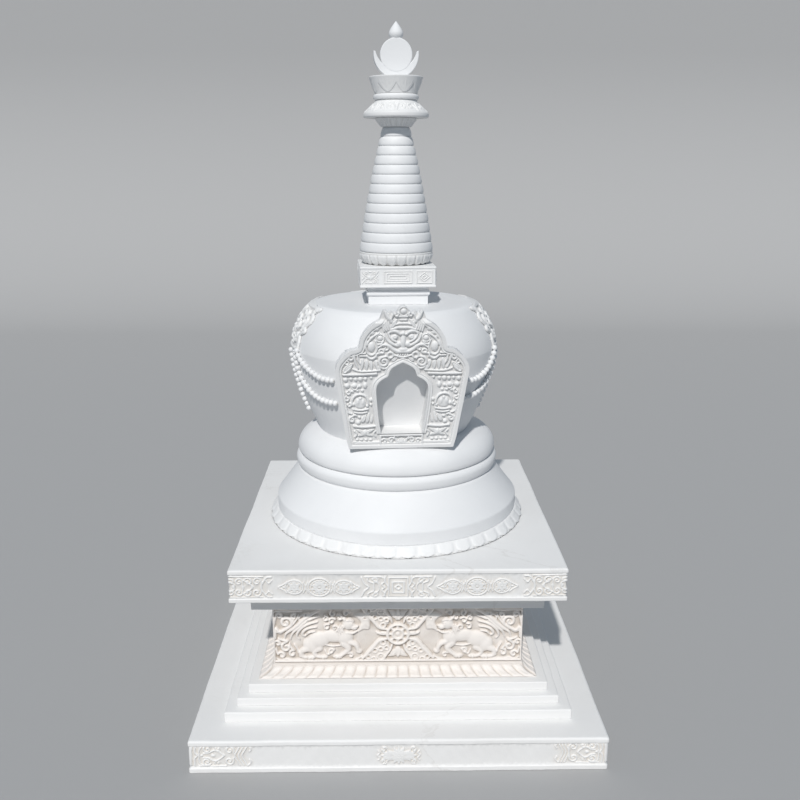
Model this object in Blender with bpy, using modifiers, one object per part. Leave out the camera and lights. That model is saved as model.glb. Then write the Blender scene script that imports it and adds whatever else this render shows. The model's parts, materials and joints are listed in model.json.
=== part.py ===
"""Free-standing carved white-marble stupa, about two metres tall.

Square plinth (base plate, three steps, lotus cavetto, carved dado, fillet and
table slab), round drum on a ring of lotus petals, two torus mouldings, the
vase-shaped body with a carved niche frame, three mask plaques and strings of
beads, then the square harmika, thirteen spire rings, umbrella, crown, crescent,
sun disc and flame jewel.  Everything above the slab is a second set of stones
that stands turned by a few degrees on the plinth.

Metres, +Z up, origin at the centre of the underside, front towards -Y.
"""
import math
import bpy
import bmesh
from mathutils import Matrix, Vector

# ---------------------------------------------------------------- dimensions
GAP = 0.0003                      # joint between touching stones
TURN = math.radians(3.5)          # set-on turn of the upper stones
VASE_SHIFT = -0.008               # the vase stands this far to the left on its seat

BASE_HALF, BASE_TOP = 0.575, 0.100
STEP1_HALF, STEP1_TOP = 0.488, 0.130
STEP2_HALF, STEP2_TOP = 0.457, 0.154
STEP3_HALF, STEP3_TOP = 0.428, 0.180
CAV_BOTTOM_HALF, CAV_TOP_HALF, CAV_TOP = 0.401, 0.364, 0.205
DADO_HALF, DADO_TOP = 0.346, 0.405
RELIEF_FACE = 0.362               # face of the dado carving
FILLET_HALF, FILLET_TOP = 0.412, 0.4537
SLAB_HALF, SLAB_TOP = 0.464, 0.551
LIP_RECESS = 0.004                # fascias lie back from their lips

LOTUS_R, LOTUS_TOP = 0.399, 0.581
DRUM_R, DRUM_BAND_TOP = 0.375, 0.620
DRUM_NECK_R, DRUM_TOP = 0.305, 0.715
TORUS1_R, TORUS1_TOP = 0.3125, 0.758
TORUS2_R, TORUS2_TOP = 0.306, 0.832

VASE_FOOT_R = 0.231
VASE_CREASE_R, VASE_CREASE_Z = 0.3075, 1.085
VASE_TOP_R, VASE_TOP = 0.241, 1.216

FRAME_FRONT = 0.335               # face of the niche frame from the axis
FRAME_PLATE_BACK = 0.292          # back of the free upper part of the plate
FRAME_BOTTOM, FRAME_SHOULDER, FRAME_PEAK = 0.8335, 1.064, 1.250
FRAME_LEAN, FRAME_Z, FRAME_X = 0.21, 1.1806, 0.0034   # leans out by 0.21, upright depth at FRAME_Z
SILL_Z, NICHE_APEX, NICHE_BACK = 0.877, 1.093, 0.249
NICHE_LEAN, NICHE_Z = 0.38, 1.0323                    # the niche's back wall leans with it

PLAQUE_T = 0.014                  # mask plaques on the shoulder
BEAD_R = 0.0078                   # strings of beads

FOOT_HALF, FOOT_TOP = 0.088, 1.242
HFILLET_HALF, HFILLET_TOP = 0.093, 1.2685
HBLOCK_HALF, HBLOCK_TOP = 0.109, 1.329
BOWL_R, BOWL_TOP = 0.109, 1.3654
RINGS = 13
RING_H0, RING_DH = 0.0282, 0.0002  # lowest ring's height, and its decrease
UMB_TOP, UMB_R = 1.790, 0.0935
UMB_LOTUS_TOP = 1.7415
COLLAR_R, COLLAR_TOP = 0.0655, 1.806
CROWN_R, CROWN_TOP = 0.078, 1.853
SUN_R, SUN_Z, SUN_T = 0.0455, 1.915, 0.030
MOON_R, MOON_Z, MOON_IN_R, MOON_IN_Z, MOON_T = 0.0635, 1.912, 0.0605, 1.938, 0.024
JEWEL_R, JEWEL_TIP = 0.0205, 2.000

BIG, MID, SMALL = 48, 40, 32      # segments of the turned stones

# ---------------------------------------------------------------- scene
for o in list(bpy.data.objects):
    bpy.data.objects.remove(o, do_unlink=True)

PARTS = bpy.data.collections.new("marble_stupa")
CUTTERS = bpy.data.collections.new("cutters")
bpy.context.scene.collection.children.link(PARTS)
bpy.context.scene.collection.children.link(CUTTERS)

WHITE = (0.83, 0.83, 0.82)
CREAM = (0.80, 0.77, 0.71)


def finish(ob, colour=WHITE, rough=0.45):
    """Link a stone to the parts collection and give it its own marble."""
    m = bpy.data.materials.new(ob.name + "_marble")
    m.use_nodes = True
    b = m.node_tree.nodes["Principled BSDF"]
    b.inputs["Base Color"].default_value = (*colour, 1.0)
    b.inputs["Roughness"].default_value = rough
    b.inputs["Metallic"].default_value = 0.0
    ob.data.materials.clear()
    ob.data.materials.append(m)
    for c in list(ob.users_collection):
        c.objects.unlink(ob)
    PARTS.objects.link(ob)
    return ob


def as_cutter(ob):
    for c in list(ob.users_collection):
        c.objects.unlink(ob)
    CUTTERS.objects.link(ob)
    ob.hide_render = True
    ob.display_type = 'WIRE'
    return ob


def profile_object(name, pts, closed=False):
    me = bpy.data.meshes.new(name)
    bm = bmesh.new()
    vs = [bm.verts.new((x, 0.0, z)) for x, z in pts]
    for a, b in zip(vs, vs[1:]):
        bm.edges.new((a, b))
    if closed:
        bm.edges.new((vs[-1], vs[0]))
    bm.to_mesh(me)
    bm.free()
    ob = bpy.data.objects.new(name, me)
    bpy.context.scene.collection.objects.link(ob)
    return ob


def turned(name, pts, steps, closed=False, smooth=True):
    """Turned stone: the profile runs from the top down its outer side."""
    ob = profile_object(name, pts, closed)
    sc = ob.modifiers.new("turn", 'SCREW')
    sc.axis = 'Z'
    sc.angle = math.tau
    sc.steps = steps
    sc.render_steps = steps
    sc.use_merge_vertices = True
    sc.merge_threshold = 0.00001
    sc.use_smooth_shade = smooth
    return ob


def squared(name, pts, turn=0.0):
    """Square moulded stone: a profile of half-widths turned in four steps."""
    ob = turned(name, [(x * math.sqrt(2.0), z) for x, z in pts], 4, smooth=False)
    ob.rotation_euler = (0.0, 0.0, math.pi / 4 + turn)
    return ob


def outline_object(name, pts, depth_from, depth_to):
    """Prism of an outline drawn in the X-Z plane, between two values of -Y."""
    cu = bpy.data.curves.new(name, 'CURVE')
    cu.dimensions = '2D'
    cu.fill_mode = 'BOTH'
    cu.extrude = abs(depth_to - depth_from) / 2
    sp = cu.splines.new('POLY')
    sp.points.add(len(pts) - 1)
    for p, (x, z) in zip(sp.points, pts):
        p.co = (x, z, 0.0, 1.0)
    sp.use_cyclic_u = True
    ob = bpy.data.objects.new(name, cu)
    bpy.context.scene.collection.objects.link(ob)
    ob.rotation_euler = (math.pi / 2, 0.0, 0.0)
    ob.location = (0.0, -(depth_from + depth_to) / 2, 0.0)
    return to_mesh(ob)


def to_mesh(ob):
    """A curve or a modified object as a plain welded mesh in its own frame."""
    bpy.context.view_layer.update()
    dg = bpy.context.evaluated_depsgraph_get()
    me = bpy.data.meshes.new_from_object(ob.evaluated_get(dg))
    mw = ob.matrix_world.copy()
    name = ob.name
    bpy.data.objects.remove(ob, do_unlink=True)
    bm = bmesh.new()
    bm.from_mesh(me)
    bmesh.ops.remove_doubles(bm, verts=bm.verts, dist=0.00001)
    bmesh.ops.transform(bm, matrix=mw, verts=bm.verts)
    bmesh.ops.recalc_face_normals(bm, faces=bm.faces)
    bm.to_mesh(me)
    bm.free()
    new = bpy.data.objects.new(name, me)
    bpy.context.scene.collection.objects.link(new)
    return new


def cut(ob, cutter, op='DIFFERENCE'):
    m = ob.modifiers.new(cutter.name, 'BOOLEAN')
    m.operation = op
    m.solver = 'EXACT'
    m.object = cutter
    return ob


def shade(ob, angle=35):
    ob.data.shade_smooth()
    ob.data.set_sharp_from_angle(angle=math.radians(angle))
    return ob


def mirrored(right):
    """Outline from its right half, listed from the bottom up to the axis."""
    left = [(-x, z) for x, z in reversed(right) if x > 0.0]
    return right + left


# ---------------------------------------------------------------- plinth
finish(squared("base_plate", [
    (0, BASE_TOP), (BASE_HALF - 0.010, BASE_TOP), (BASE_HALF - 0.003, BASE_TOP - 0.003),
    (BASE_HALF, BASE_TOP - 0.010), (BASE_HALF, BASE_TOP - 0.014),
    (BASE_HALF - LIP_RECESS, BASE_TOP - 0.018), (BASE_HALF - LIP_RECESS, 0.017),
    (BASE_HALF, 0.013), (BASE_HALF, 0.0), (0, 0.0)]))


def course(name, half, z0, z1):
    return finish(squared(name, [
        (0, z1), (half - 0.006, z1), (half - 0.0015, z1 - 0.002), (half, z1 - 0.006),
        (half, z0 + GAP), (0, z0 + GAP)]))


course("plinth_step_lower", STEP1_HALF, BASE_TOP, STEP1_TOP)
course("plinth_step_middle", STEP2_HALF, STEP1_TOP, STEP2_TOP)
course("plinth_step_upper", STEP3_HALF, STEP2_TOP, STEP3_TOP)

# cavetto under the dado: a quarter hollow that carries small lotus petals
cav = []
for i in range(5):
    t = i / 4 * math.pi / 2
    cav.append((CAV_TOP_HALF + (CAV_BOTTOM_HALF - CAV_TOP_HALF) * (1 - math.cos(t)),
                CAV_TOP - (CAV_TOP - STEP3_TOP - 0.003) * math.sin(t)))
finish(squared("plinth_lotus_cavetto",
               [(0, CAV_TOP)] + cav + [(CAV_BOTTOM_HALF, STEP3_TOP + GAP), (0, STEP3_TOP + GAP)]), CREAM)

finish(squared("dado_block", [
    (0, DADO_TOP), (DADO_HALF, DADO_TOP), (DADO_HALF, CAV_TOP + GAP), (0, CAV_TOP + GAP)]), CREAM)


def relief_panel(name, half_len, angle):
    """Carved panel standing on one face of the dado."""
    bpy.ops.mesh.primitive_cube_add(size=1.0)
    ob = bpy.context.active_object
    ob.name = name
    ob.data.name = name
    t = RELIEF_FACE - DADO_HALF - GAP
    h = DADO_TOP - CAV_TOP - 0.008
    ob.data.transform(Matrix.Diagonal((2 * half_len, t, h, 1.0)))
    ob.data.transform(Matrix.Translation((0.0, -(DADO_HALF + GAP + t / 2), CAV_TOP + 0.004 + h / 2)))
    ob.rotation_euler = (0, 0, angle)
    bv = ob.modifiers.new("worn_edges", 'BEVEL')
    bv.width = 0.003
    bv.segments = 2
    return finish(ob, CREAM, 0.6)


relief_panel("dado_relief_front", RELIEF_FACE - 0.001, 0.0)
relief_panel("dado_relief_back", RELIEF_FACE - 0.001, math.pi)
relief_panel("dado_relief_left", DADO_HALF - 0.001, -math.pi / 2)
relief_panel("dado_relief_right", DADO_HALF - 0.001, math.pi / 2)

finish(squared("cornice_fillet", [
    (0, FILLET_TOP), (FILLET_HALF, FILLET_TOP), (FILLET_HALF, DADO_TOP + 0.006),
    (FILLET_HALF - 0.004, DADO_TOP + GAP), (0, DADO_TOP + GAP)]))

z0 = FILLET_TOP + GAP
finish(squared("table_slab", [
    (0, SLAB_TOP), (SLAB_HALF - 0.009, SLAB_TOP), (SLAB_HALF - 0.002, SLAB_TOP - 0.003),
    (SLAB_HALF, SLAB_TOP - 0.009), (SLAB_HALF, SLAB_TOP - 0.011),
    (SLAB_HALF - LIP_RECESS, SLAB_TOP - 0.015), (SLAB_HALF - LIP_RECESS, z0 + 0.014),
    (SLAB_HALF, z0 + 0.010), (SLAB_HALF, z0), (0, z0)]))

# ---------------------------------------------------------------- drum and tori
finish(turned("drum_lotus_ring", [
    (0, LOTUS_TOP), (DRUM_R + 0.003, LOTUS_TOP), (LOTUS_R - 0.010, SLAB_TOP + 0.016),
    (LOTUS_R, SLAB_TOP + 0.006), (LOTUS_R - 0.001, SLAB_TOP + GAP), (0, SLAB_TOP + GAP)], BIG))

finish(turned("drum", [
    (0, DRUM_TOP), (DRUM_NECK_R, DRUM_TOP), (DRUM_R - 0.003, DRUM_BAND_TOP + 0.002),
    (DRUM_R, DRUM_BAND_TOP - 0.003), (DRUM_R, LOTUS_TOP + GAP), (0, LOTUS_TOP + GAP)], BIG))


def bulge(r, z_low, z_top, r_low, r_top, power, n):
    """Half-round moulding from its top edge down to its lower edge."""
    pts = []
    zm = z_low + (z_top - z_low) * power
    for i in range(n + 1):
        t = i / n
        if t < 0.6:
            a = (1 - t / 0.6) * math.pi / 2
            pts.append((r_top + (r - r_top) * math.cos(a), zm + (z_top - zm) * math.sin(a)))
        else:
            a = (t - 0.6) / 0.4 * math.pi / 2
            pts.append((r_low + (r - r_low) * math.cos(a), zm - (zm - z_low) * math.sin(a)))
    return pts


z0 = DRUM_TOP + GAP
finish(turned("torus_lower", [(0, TORUS1_TOP)]
              + bulge(TORUS1_R, z0, TORUS1_TOP, 0.302, 0.288, 0.55, 10) + [(0, z0)], BIG))
z0 = TORUS1_TOP + GAP
finish(turned("torus_upper", [(0, TORUS2_TOP)]
              + bulge(TORUS2_R, z0, TORUS2_TOP, 0.299, VASE_FOOT_R, 0.19, 10) + [(0, z0)], BIG))


# ---------------------------------------------------------------- vase
def vase_r(z):
    """Outer radius of the vase: a flare up to the crease, then the shoulder."""
    if z >= VASE_CREASE_Z:
        t = (z - VASE_CREASE_Z) / (VASE_TOP - VASE_CREASE_Z)
        return VASE_CREASE_R - 0.013 * t - (VASE_CREASE_R - VASE_TOP_R - 0.013) * t ** 1.95
    t = (VASE_CREASE_Z - z) / (VASE_CREASE_Z - TORUS2_TOP)
    return VASE_CREASE_R - 0.026 * t - (VASE_CREASE_R - VASE_FOOT_R - 0.026) * t ** 2.1


def vase_outline(offset, zs):
    """Points of the vase's outer line, moved out along its own normal."""
    out = []
    for z in zs:
        d = (vase_r(z + 0.002) - vase_r(z - 0.002)) / 0.004
        n = Vector((1.0, -d)).normalized()
        out.append((vase_r(z) + offset * n.x, z + offset * n.y))
    return out


def vase_points(offset=0.0):
    up = [VASE_TOP - 0.006 - (VASE_TOP - 0.006 - VASE_CREASE_Z) * (i / 8) ** 0.9 for i in range(9)]
    low = [VASE_CREASE_Z - 0.002 - (VASE_CREASE_Z - 0.002 - TORUS2_TOP - GAP) * i / 9 for i in range(10)]
    side = vase_outline(offset, up + low)
    side[-1] = (side[-1][0], TORUS2_TOP + GAP - offset)
    return ([(0, VASE_TOP + offset), (VASE_TOP_R - 0.016, VASE_TOP + offset)]
            + side + [(0, TORUS2_TOP + GAP - offset)])


# outline of the niche opening: jambs, a foil each side, a cusp, the pointed top
opening = [(0.058, SILL_Z), (0.0640, 0.914), (0.0710, 0.985), (0.0725, 1.010), (0.0705, 1.026),
           (0.060, 1.0405), (0.041, 1.0505), (0.0385, 1.056), (0.0355, 1.070), (0.022, 1.0825),
           (0.010, 1.0885), (0.0, NICHE_APEX)]
opening = [(x + FRAME_X, z) for x, z in mirrored(opening)]


def leaning(ob, slope, z_at):
    """Lean a piece outwards: forward by slope for each metre above z_at."""
    shear = Matrix.Identity(4)
    shear[1][2], shear[1][3] = -slope, slope * z_at
    ob.data.transform(shear)
    return ob


def set_on(ob):
    """Place a piece of the vase: turned, and a little to the left."""
    ob.rotation_euler = (0.0, 0.0, TURN)
    ob.location = (VASE_SHIFT, 0.0, 0.0)
    return ob


vase = finish(set_on(turned("vase_body", vase_points(), BIG)))
niche_cut = set_on(as_cutter(leaning(outline_object("niche_cut", opening, NICHE_BACK, 0.42),
                                     NICHE_LEAN, NICHE_Z)))
cut(vase, niche_cut)

# frame outline: leaning jambs, rounded shoulders, the arch and the horned top
frame_half = [(0.149, FRAME_BOTTOM), (0.1665, 0.935), (0.179, 1.027), (0.1835, FRAME_SHOULDER),
              (0.180, 1.087), (0.1715, 1.101), (0.157, 1.117), (0.138, 1.130), (0.121, 1.133),
              (0.118, 1.147), (0.1115, 1.167), (0.099, 1.185), (0.085, 1.198), (0.072, 1.206),
              (0.0635, 1.212), (0.059, 1.220), (0.056, 1.229), (0.0485, 1.238), (0.032, 1.232),
              (0.014, 1.240), (0.0, FRAME_PEAK)]
frame_outline = [(x + FRAME_X, z) for x, z in mirrored(frame_half)]
frame = leaning(outline_object("niche_frame", frame_outline, 0.180, FRAME_FRONT), FRAME_LEAN, FRAME_Z)
vase_cut = as_cutter(turned("vase_cut", vase_points(GAP), BIG))
frame_open = as_cutter(outline_object("frame_open", opening, 0.15, 0.45))
bpy.ops.mesh.primitive_cube_add(size=1.0)
plate_back = bpy.context.active_object
plate_back.name = "plate_back"
plate_back.data.transform(Matrix.Diagonal((0.6, 0.2, 0.3, 1.0)))
plate_back.data.transform(Matrix.Translation((0.0, -FRAME_PLATE_BACK + 0.1, 1.120 + 0.15)))
as_cutter(leaning(plate_back, FRAME_LEAN, FRAME_Z))
for c in (vase_cut, frame_open, plate_back):
    cut(frame, c)
frame = to_mesh(frame)
bm = bmesh.new()
bm.from_mesh(frame.data)
bmesh.ops.dissolve_limit(bm, angle_limit=math.radians(0.5), verts=bm.verts, edges=bm.edges)
bmesh.ops.triangulate(bm, faces=bm.faces)
bm.to_mesh(frame.data)
bm.free()
finish(set_on(frame), CREAM, 0.6)

# ---------------------------------------------------------------- mask plaques
PLAQUE_LOW, PLAQUE_HIGH = 1.088, 1.2085
zs = [PLAQUE_HIGH + 0.0005 - (PLAQUE_HIGH - PLAQUE_LOW + 0.002) * i / 12 for i in range(13)]
loop = vase_outline(PLAQUE_T, zs) + list(reversed(vase_outline(0.0010, zs)))
plaque_half = [(0.080, 1.088), (0.106, 1.0895), (0.1165, 1.098), (0.1155, 1.115), (0.107, 1.1315),
               (0.126, 1.140), (0.128, 1.148), (0.1165, 1.156), (0.129, 1.167), (0.129, 1.180),
               (0.111, 1.193), (0.127, 1.202), (0.123, 1.2078), (0.090, 1.2085), (0.0, 1.2085)]


def plaque(name, angle):
    shell = turned(name, loop, BIG, closed=True)
    wedge = as_cutter(outline_object(name + "_outline", mirrored(plaque_half), 0.12, 0.42))
    wedge.matrix_world = Matrix.Rotation(angle, 4, 'Z')
    cut(shell, wedge, 'INTERSECT')
    return finish(set_on(to_mesh(shell)), WHITE, 0.55)


plaque("mask_plaque_left", -math.pi / 2)
plaque("mask_plaque_right", math.pi / 2)
plaque("mask_plaque_back", math.pi)


# ---------------------------------------------------------------- bead strings
def string(name, pts):
    cu = bpy.data.curves.new(name, 'CURVE')
    cu.dimensions = '3D'
    cu.bevel_depth = BEAD_R
    cu.bevel_resolution = 2
    cu.use_fill_caps = True
    sp = cu.splines.new('POLY')
    sp.points.add(len(pts) - 1)
    for p, co in zip(sp.points, pts):
        p.co = (*co, 1.0)
    ob = bpy.data.objects.new(name, cu)
    bpy.context.scene.collection.objects.link(ob)
    return finish(set_on(ob), WHITE, 0.4)


def on_vase(azimuth, z):
    """Centre of a bead on the vase; azimuth 0 is the front, + to the right."""
    (r, zz), = vase_outline(BEAD_R + 0.0008, [z])
    a = math.radians(azimuth)
    return (r * math.sin(a), -r * math.cos(a), zz)


def swag(name, a0, a1, middle, span, z_low, rise, n=12):
    pts = []
    for i in range(n + 1):
        a = a0 + (a1 - a0) * i / n
        pts.append(on_vase(a, z_low + rise * abs((a - middle) / span) ** 1.8))
    return string(name, pts)


UPPER = [(64.5, 1.0670), (60.5, 1.0515), (55.5, 1.0380), (50.5, 1.0285), (45.5, 1.0240), (40.0, 1.0235)]
LOWER = [(70.0, 1.0570), (69.8, 1.0270), (67.0, 1.0030), (61.0, 0.9850), (55.3, 0.9720), (50.0, 0.9650),
         (45.0, 0.9610), (40.0, 0.9600)]
for side, s in (("left", -1), ("right", 1)):
    string(f"beads_front_{side}_upper", [on_vase(s * a, z) for a, z in UPPER])
    string(f"beads_front_{side}_lower", [on_vase(s * a, z) for a, z in LOWER])
    swag(f"beads_back_{side}_upper", s * 113.5, s * 156.5, s * 135, 22, 1.024, 0.042)
    swag(f"beads_back_{side}_lower", s * 109.0, s * 161.0, s * 135, 26, 0.961, 0.096)
for name, az in (("beads_drop_left", -90), ("beads_drop_right", 90), ("beads_drop_back", 180)):
    string(name, [on_vase(az, 1.064 - (1.064 - 0.880) * i / 9) for i in range(10)])

# ---------------------------------------------------------------- harmika
z0 = VASE_TOP + GAP
finish(squared("harmika_foot", [
    (0, FOOT_TOP), (FOOT_HALF - 0.002, FOOT_TOP), (FOOT_HALF, z0), (0, z0)], TURN))
z0 = FOOT_TOP + GAP
finish(squared("harmika_fillet", [
    (0, HFILLET_TOP), (HFILLET_HALF - 0.004, HFILLET_TOP), (HFILLET_HALF - 0.004, FOOT_TOP + 0.0155),
    (HFILLET_HALF, FOOT_TOP + 0.0135), (HFILLET_HALF, FOOT_TOP + 0.004),
    (HFILLET_HALF - 0.003, z0), (0, z0)], TURN))
z0 = HFILLET_TOP + GAP
finish(squared("harmika_block", [
    (0, HBLOCK_TOP), (HBLOCK_HALF - 0.005, HBLOCK_TOP), (HBLOCK_HALF, HBLOCK_TOP - 0.004),
    (HBLOCK_HALF, z0 + 0.003), (HBLOCK_HALF - 0.003, z0), (0, z0)], TURN), CREAM, 0.55)

# ---------------------------------------------------------------- spire
z0 = HBLOCK_TOP + GAP
bowl = [(0, BOWL_TOP), (BOWL_R - 0.005, BOWL_TOP), (BOWL_R, BOWL_TOP - 0.005)]
for i in range(1, 6):
    a = i / 5 * math.pi / 2
    bowl.append((0.083 + (BOWL_R - 0.083) * math.cos(a), z0 + (BOWL_TOP - 0.005 - z0) * (1 - math.sin(a))))
finish(turned("spire_lotus", bowl + [(0, z0)], MID), CREAM, 0.55)


def spire_r(z):
    t = z - BOWL_TOP
    return 0.1100 - 0.148 * t - 0.11 * t * t - 0.10 * t ** 3


rings = []
zj = BOWL_TOP + GAP
for j in range(RINGS):
    h = RING_H0 - RING_DH * j - (GAP if j == 0 else 0.0)
    lo, hi = zj, zj + h
    rings.append([(spire_r(hi) - 0.0030, hi), (spire_r(hi - 0.004), hi - 0.0035),
                  (spire_r(lo + 0.004) + 0.0005, lo + 0.0035), (spire_r(lo) - 0.0030, lo)])
    zj = hi
SPIRE_TOP = zj
pts = [(0, SPIRE_TOP)]
for k, ring in enumerate(reversed(rings)):
    pts += ring if k == RINGS - 1 else ring[:-1]
pts += [(0, BOWL_TOP + GAP)]
finish(turned("spire_rings", pts, SMALL))

# ---------------------------------------------------------------- umbrella, crown
z0 = SPIRE_TOP + GAP
finish(turned("umbrella_lotus", [
    (0, UMB_LOTUS_TOP), (0.066, UMB_LOTUS_TOP), (0.064, UMB_LOTUS_TOP - 0.003),
    (0.053, UMB_LOTUS_TOP - 0.011), (0.047, UMB_LOTUS_TOP - 0.018), (0.0435, z0), (0, z0)], SMALL), CREAM, 0.55)
z0 = UMB_LOTUS_TOP + GAP
umb = [(0, UMB_TOP)]
for i in range(6):
    t = i / 5
    umb.append((0.0610 + (UMB_R - 0.0610) * t ** 1.1, UMB_TOP - 0.036 * t))
umb += [(UMB_R, UMB_TOP - 0.0425), (UMB_R - 0.003, z0), (0, z0)]
finish(turned("umbrella", umb, MID))

z0 = UMB_TOP + GAP
finish(turned("umbrella_collar", [(0, COLLAR_TOP)]
              + bulge(COLLAR_R, z0, COLLAR_TOP, 0.061, 0.059, 0.5, 5) + [(0, z0)], MID))
z0 = COLLAR_TOP + GAP
crown = [(0, CROWN_TOP - 0.003), (CROWN_R - 0.006, CROWN_TOP - 0.003), (CROWN_R - 0.002, CROWN_TOP),
         (CROWN_R, CROWN_TOP - 0.002)]
for i in range(1, 6):
    t = i / 5
    crown.append((0.058 + (CROWN_R - 0.058) * (1 - t) ** 0.6, CROWN_TOP - 0.002 - (CROWN_TOP - 0.002 - z0) * t))
finish(turned("crown", crown + [(0, z0)], MID), CREAM, 0.55)

# ---------------------------------------------------------------- moon, sun, jewel
MOON_FOOT = CROWN_TOP - 0.003 + GAP


def arc(r, zc, z_from, z_to, n, side=1):
    """Points on a circle about (0, zc), by angle, from one height to another."""
    a0 = math.asin(max(-1.0, min(1.0, (z_from - zc) / r)))
    a1 = math.asin(max(-1.0, min(1.0, (z_to - zc) / r)))
    return [(side * r * math.cos(a0 + (a1 - a0) * i / n), zc + r * math.sin(a0 + (a1 - a0) * i / n))
            for i in range(n + 1)]


MOON_TIP_Z = 1.922
outer = arc(MOON_R, MOON_Z, MOON_FOOT, MOON_TIP_Z, 10)
inner = arc(MOON_IN_R, MOON_IN_Z, MOON_TIP_Z - 0.002, MOON_IN_Z - MOON_IN_R, 8)
moon = finish(outline_object("crescent", mirrored(outer + inner), -MOON_T / 2, MOON_T / 2))


def disc(name, r, t):
    bpy.ops.mesh.primitive_cylinder_add(vertices=MID, radius=r, depth=t)
    ob = bpy.context.active_object
    ob.name = name
    ob.data.name = name
    ob.data.transform(Matrix.Rotation(math.pi / 2, 4, 'X'))
    ob.location = (0, 0, SUN_Z)
    return ob


sun = disc("sun_disc", SUN_R, SUN_T)
bv = sun.modifiers.new("rounded", 'BEVEL')
bv.width = 0.006
bv.segments = 2
bv.limit_method = 'ANGLE'
bv.angle_limit = math.radians(40)
finish(sun)
sun_cut = as_cutter(disc("sun_cut", SUN_R + GAP, 0.08))
for ob in (moon, sun, sun_cut):
    ob.rotation_euler = (0, 0, TURN)
cut(moon, sun_cut)

z0 = SUN_Z + SUN_R - 0.008
jewel = finish(turned("flame_jewel", [
    (0, JEWEL_TIP), (0.0035, JEWEL_TIP - 0.0045), (0.0105, JEWEL_TIP - 0.0135),
    (0.0170, JEWEL_TIP - 0.0215), (JEWEL_R, JEWEL_TIP - 0.031), (0.0195, JEWEL_TIP - 0.036),
    (0.0160, JEWEL_TIP - 0.0415), (0.0140, JEWEL_TIP - 0.0450), (0.0140, z0), (0, z0)], 24))
cut(jewel, sun_cut)

for ob in PARTS.objects:
    if ob.type == 'MESH' and not any(m.type == 'SCREW' for m in ob.modifiers) and len(ob.data.polygons) > 0:
        shade(ob)
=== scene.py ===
"""Looks of the carved white-marble stupa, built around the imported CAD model."""
import json
import math
import bpy
import bmesh
import numpy as np
from mathutils import Matrix, Vector

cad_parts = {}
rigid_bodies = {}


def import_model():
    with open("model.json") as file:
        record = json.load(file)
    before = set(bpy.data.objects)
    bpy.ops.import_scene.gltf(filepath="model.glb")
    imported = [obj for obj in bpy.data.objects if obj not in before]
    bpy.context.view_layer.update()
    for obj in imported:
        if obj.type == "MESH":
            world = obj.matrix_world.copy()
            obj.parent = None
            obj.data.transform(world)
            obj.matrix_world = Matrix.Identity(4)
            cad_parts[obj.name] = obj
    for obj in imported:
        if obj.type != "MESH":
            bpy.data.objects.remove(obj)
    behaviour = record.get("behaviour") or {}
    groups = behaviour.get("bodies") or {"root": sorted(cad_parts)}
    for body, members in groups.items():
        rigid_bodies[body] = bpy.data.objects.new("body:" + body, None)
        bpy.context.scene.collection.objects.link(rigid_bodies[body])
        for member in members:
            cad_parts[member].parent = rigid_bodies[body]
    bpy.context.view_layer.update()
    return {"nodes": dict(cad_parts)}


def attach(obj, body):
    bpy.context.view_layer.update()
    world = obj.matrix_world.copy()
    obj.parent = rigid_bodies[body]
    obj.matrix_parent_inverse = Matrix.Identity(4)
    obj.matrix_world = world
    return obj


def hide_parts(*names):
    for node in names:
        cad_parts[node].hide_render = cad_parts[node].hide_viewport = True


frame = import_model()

TAU = math.tau
TURN = math.radians(3.5)
VASE_SHIFT = -0.008

# ---------------------------------------------------------------- view
F_PX = 878.25
EYE = Vector((-0.0277, -2.6453, 1.6067))
FWD = Vector((0.014272, 0.966382, -0.256714)).normalized()
RIGHT = FWD.cross(Vector((0.003849, 0.256685, 0.966487))).normalized()
UP = RIGHT.cross(FWD).normalized()


def seen_on(px, py, y, turn=0.0, shift=0.0):
    """(x, z) of the point of the plane y that a place in the 800 x 800 view shows."""
    d = FWD + RIGHT * ((px - 400) / F_PX) - UP * ((py - 400) / F_PX)
    o = EYE.copy()
    if turn:
        r = Matrix.Rotation(-turn, 3, 'Z')
        o, d = r @ (o - Vector((shift, 0, 0))), r @ d
    t = (y - o.y) / d.y
    p = o + t * d
    return p.x, p.z


cam_data = bpy.data.cameras.new("camera")
cam = bpy.data.objects.new("camera", cam_data)
bpy.context.scene.collection.objects.link(cam)
cam_data.sensor_fit = 'HORIZONTAL'
cam_data.sensor_width = 36.0
cam_data.lens = F_PX * 36.0 / 800.0
cam_data.clip_start, cam_data.clip_end = 0.05, 60.0
cam.matrix_world = Matrix(((RIGHT.x, UP.x, -FWD.x, EYE.x), (RIGHT.y, UP.y, -FWD.y, EYE.y),
                           (RIGHT.z, UP.z, -FWD.z, EYE.z), (0, 0, 0, 1)))
bpy.context.scene.camera = cam


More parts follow.
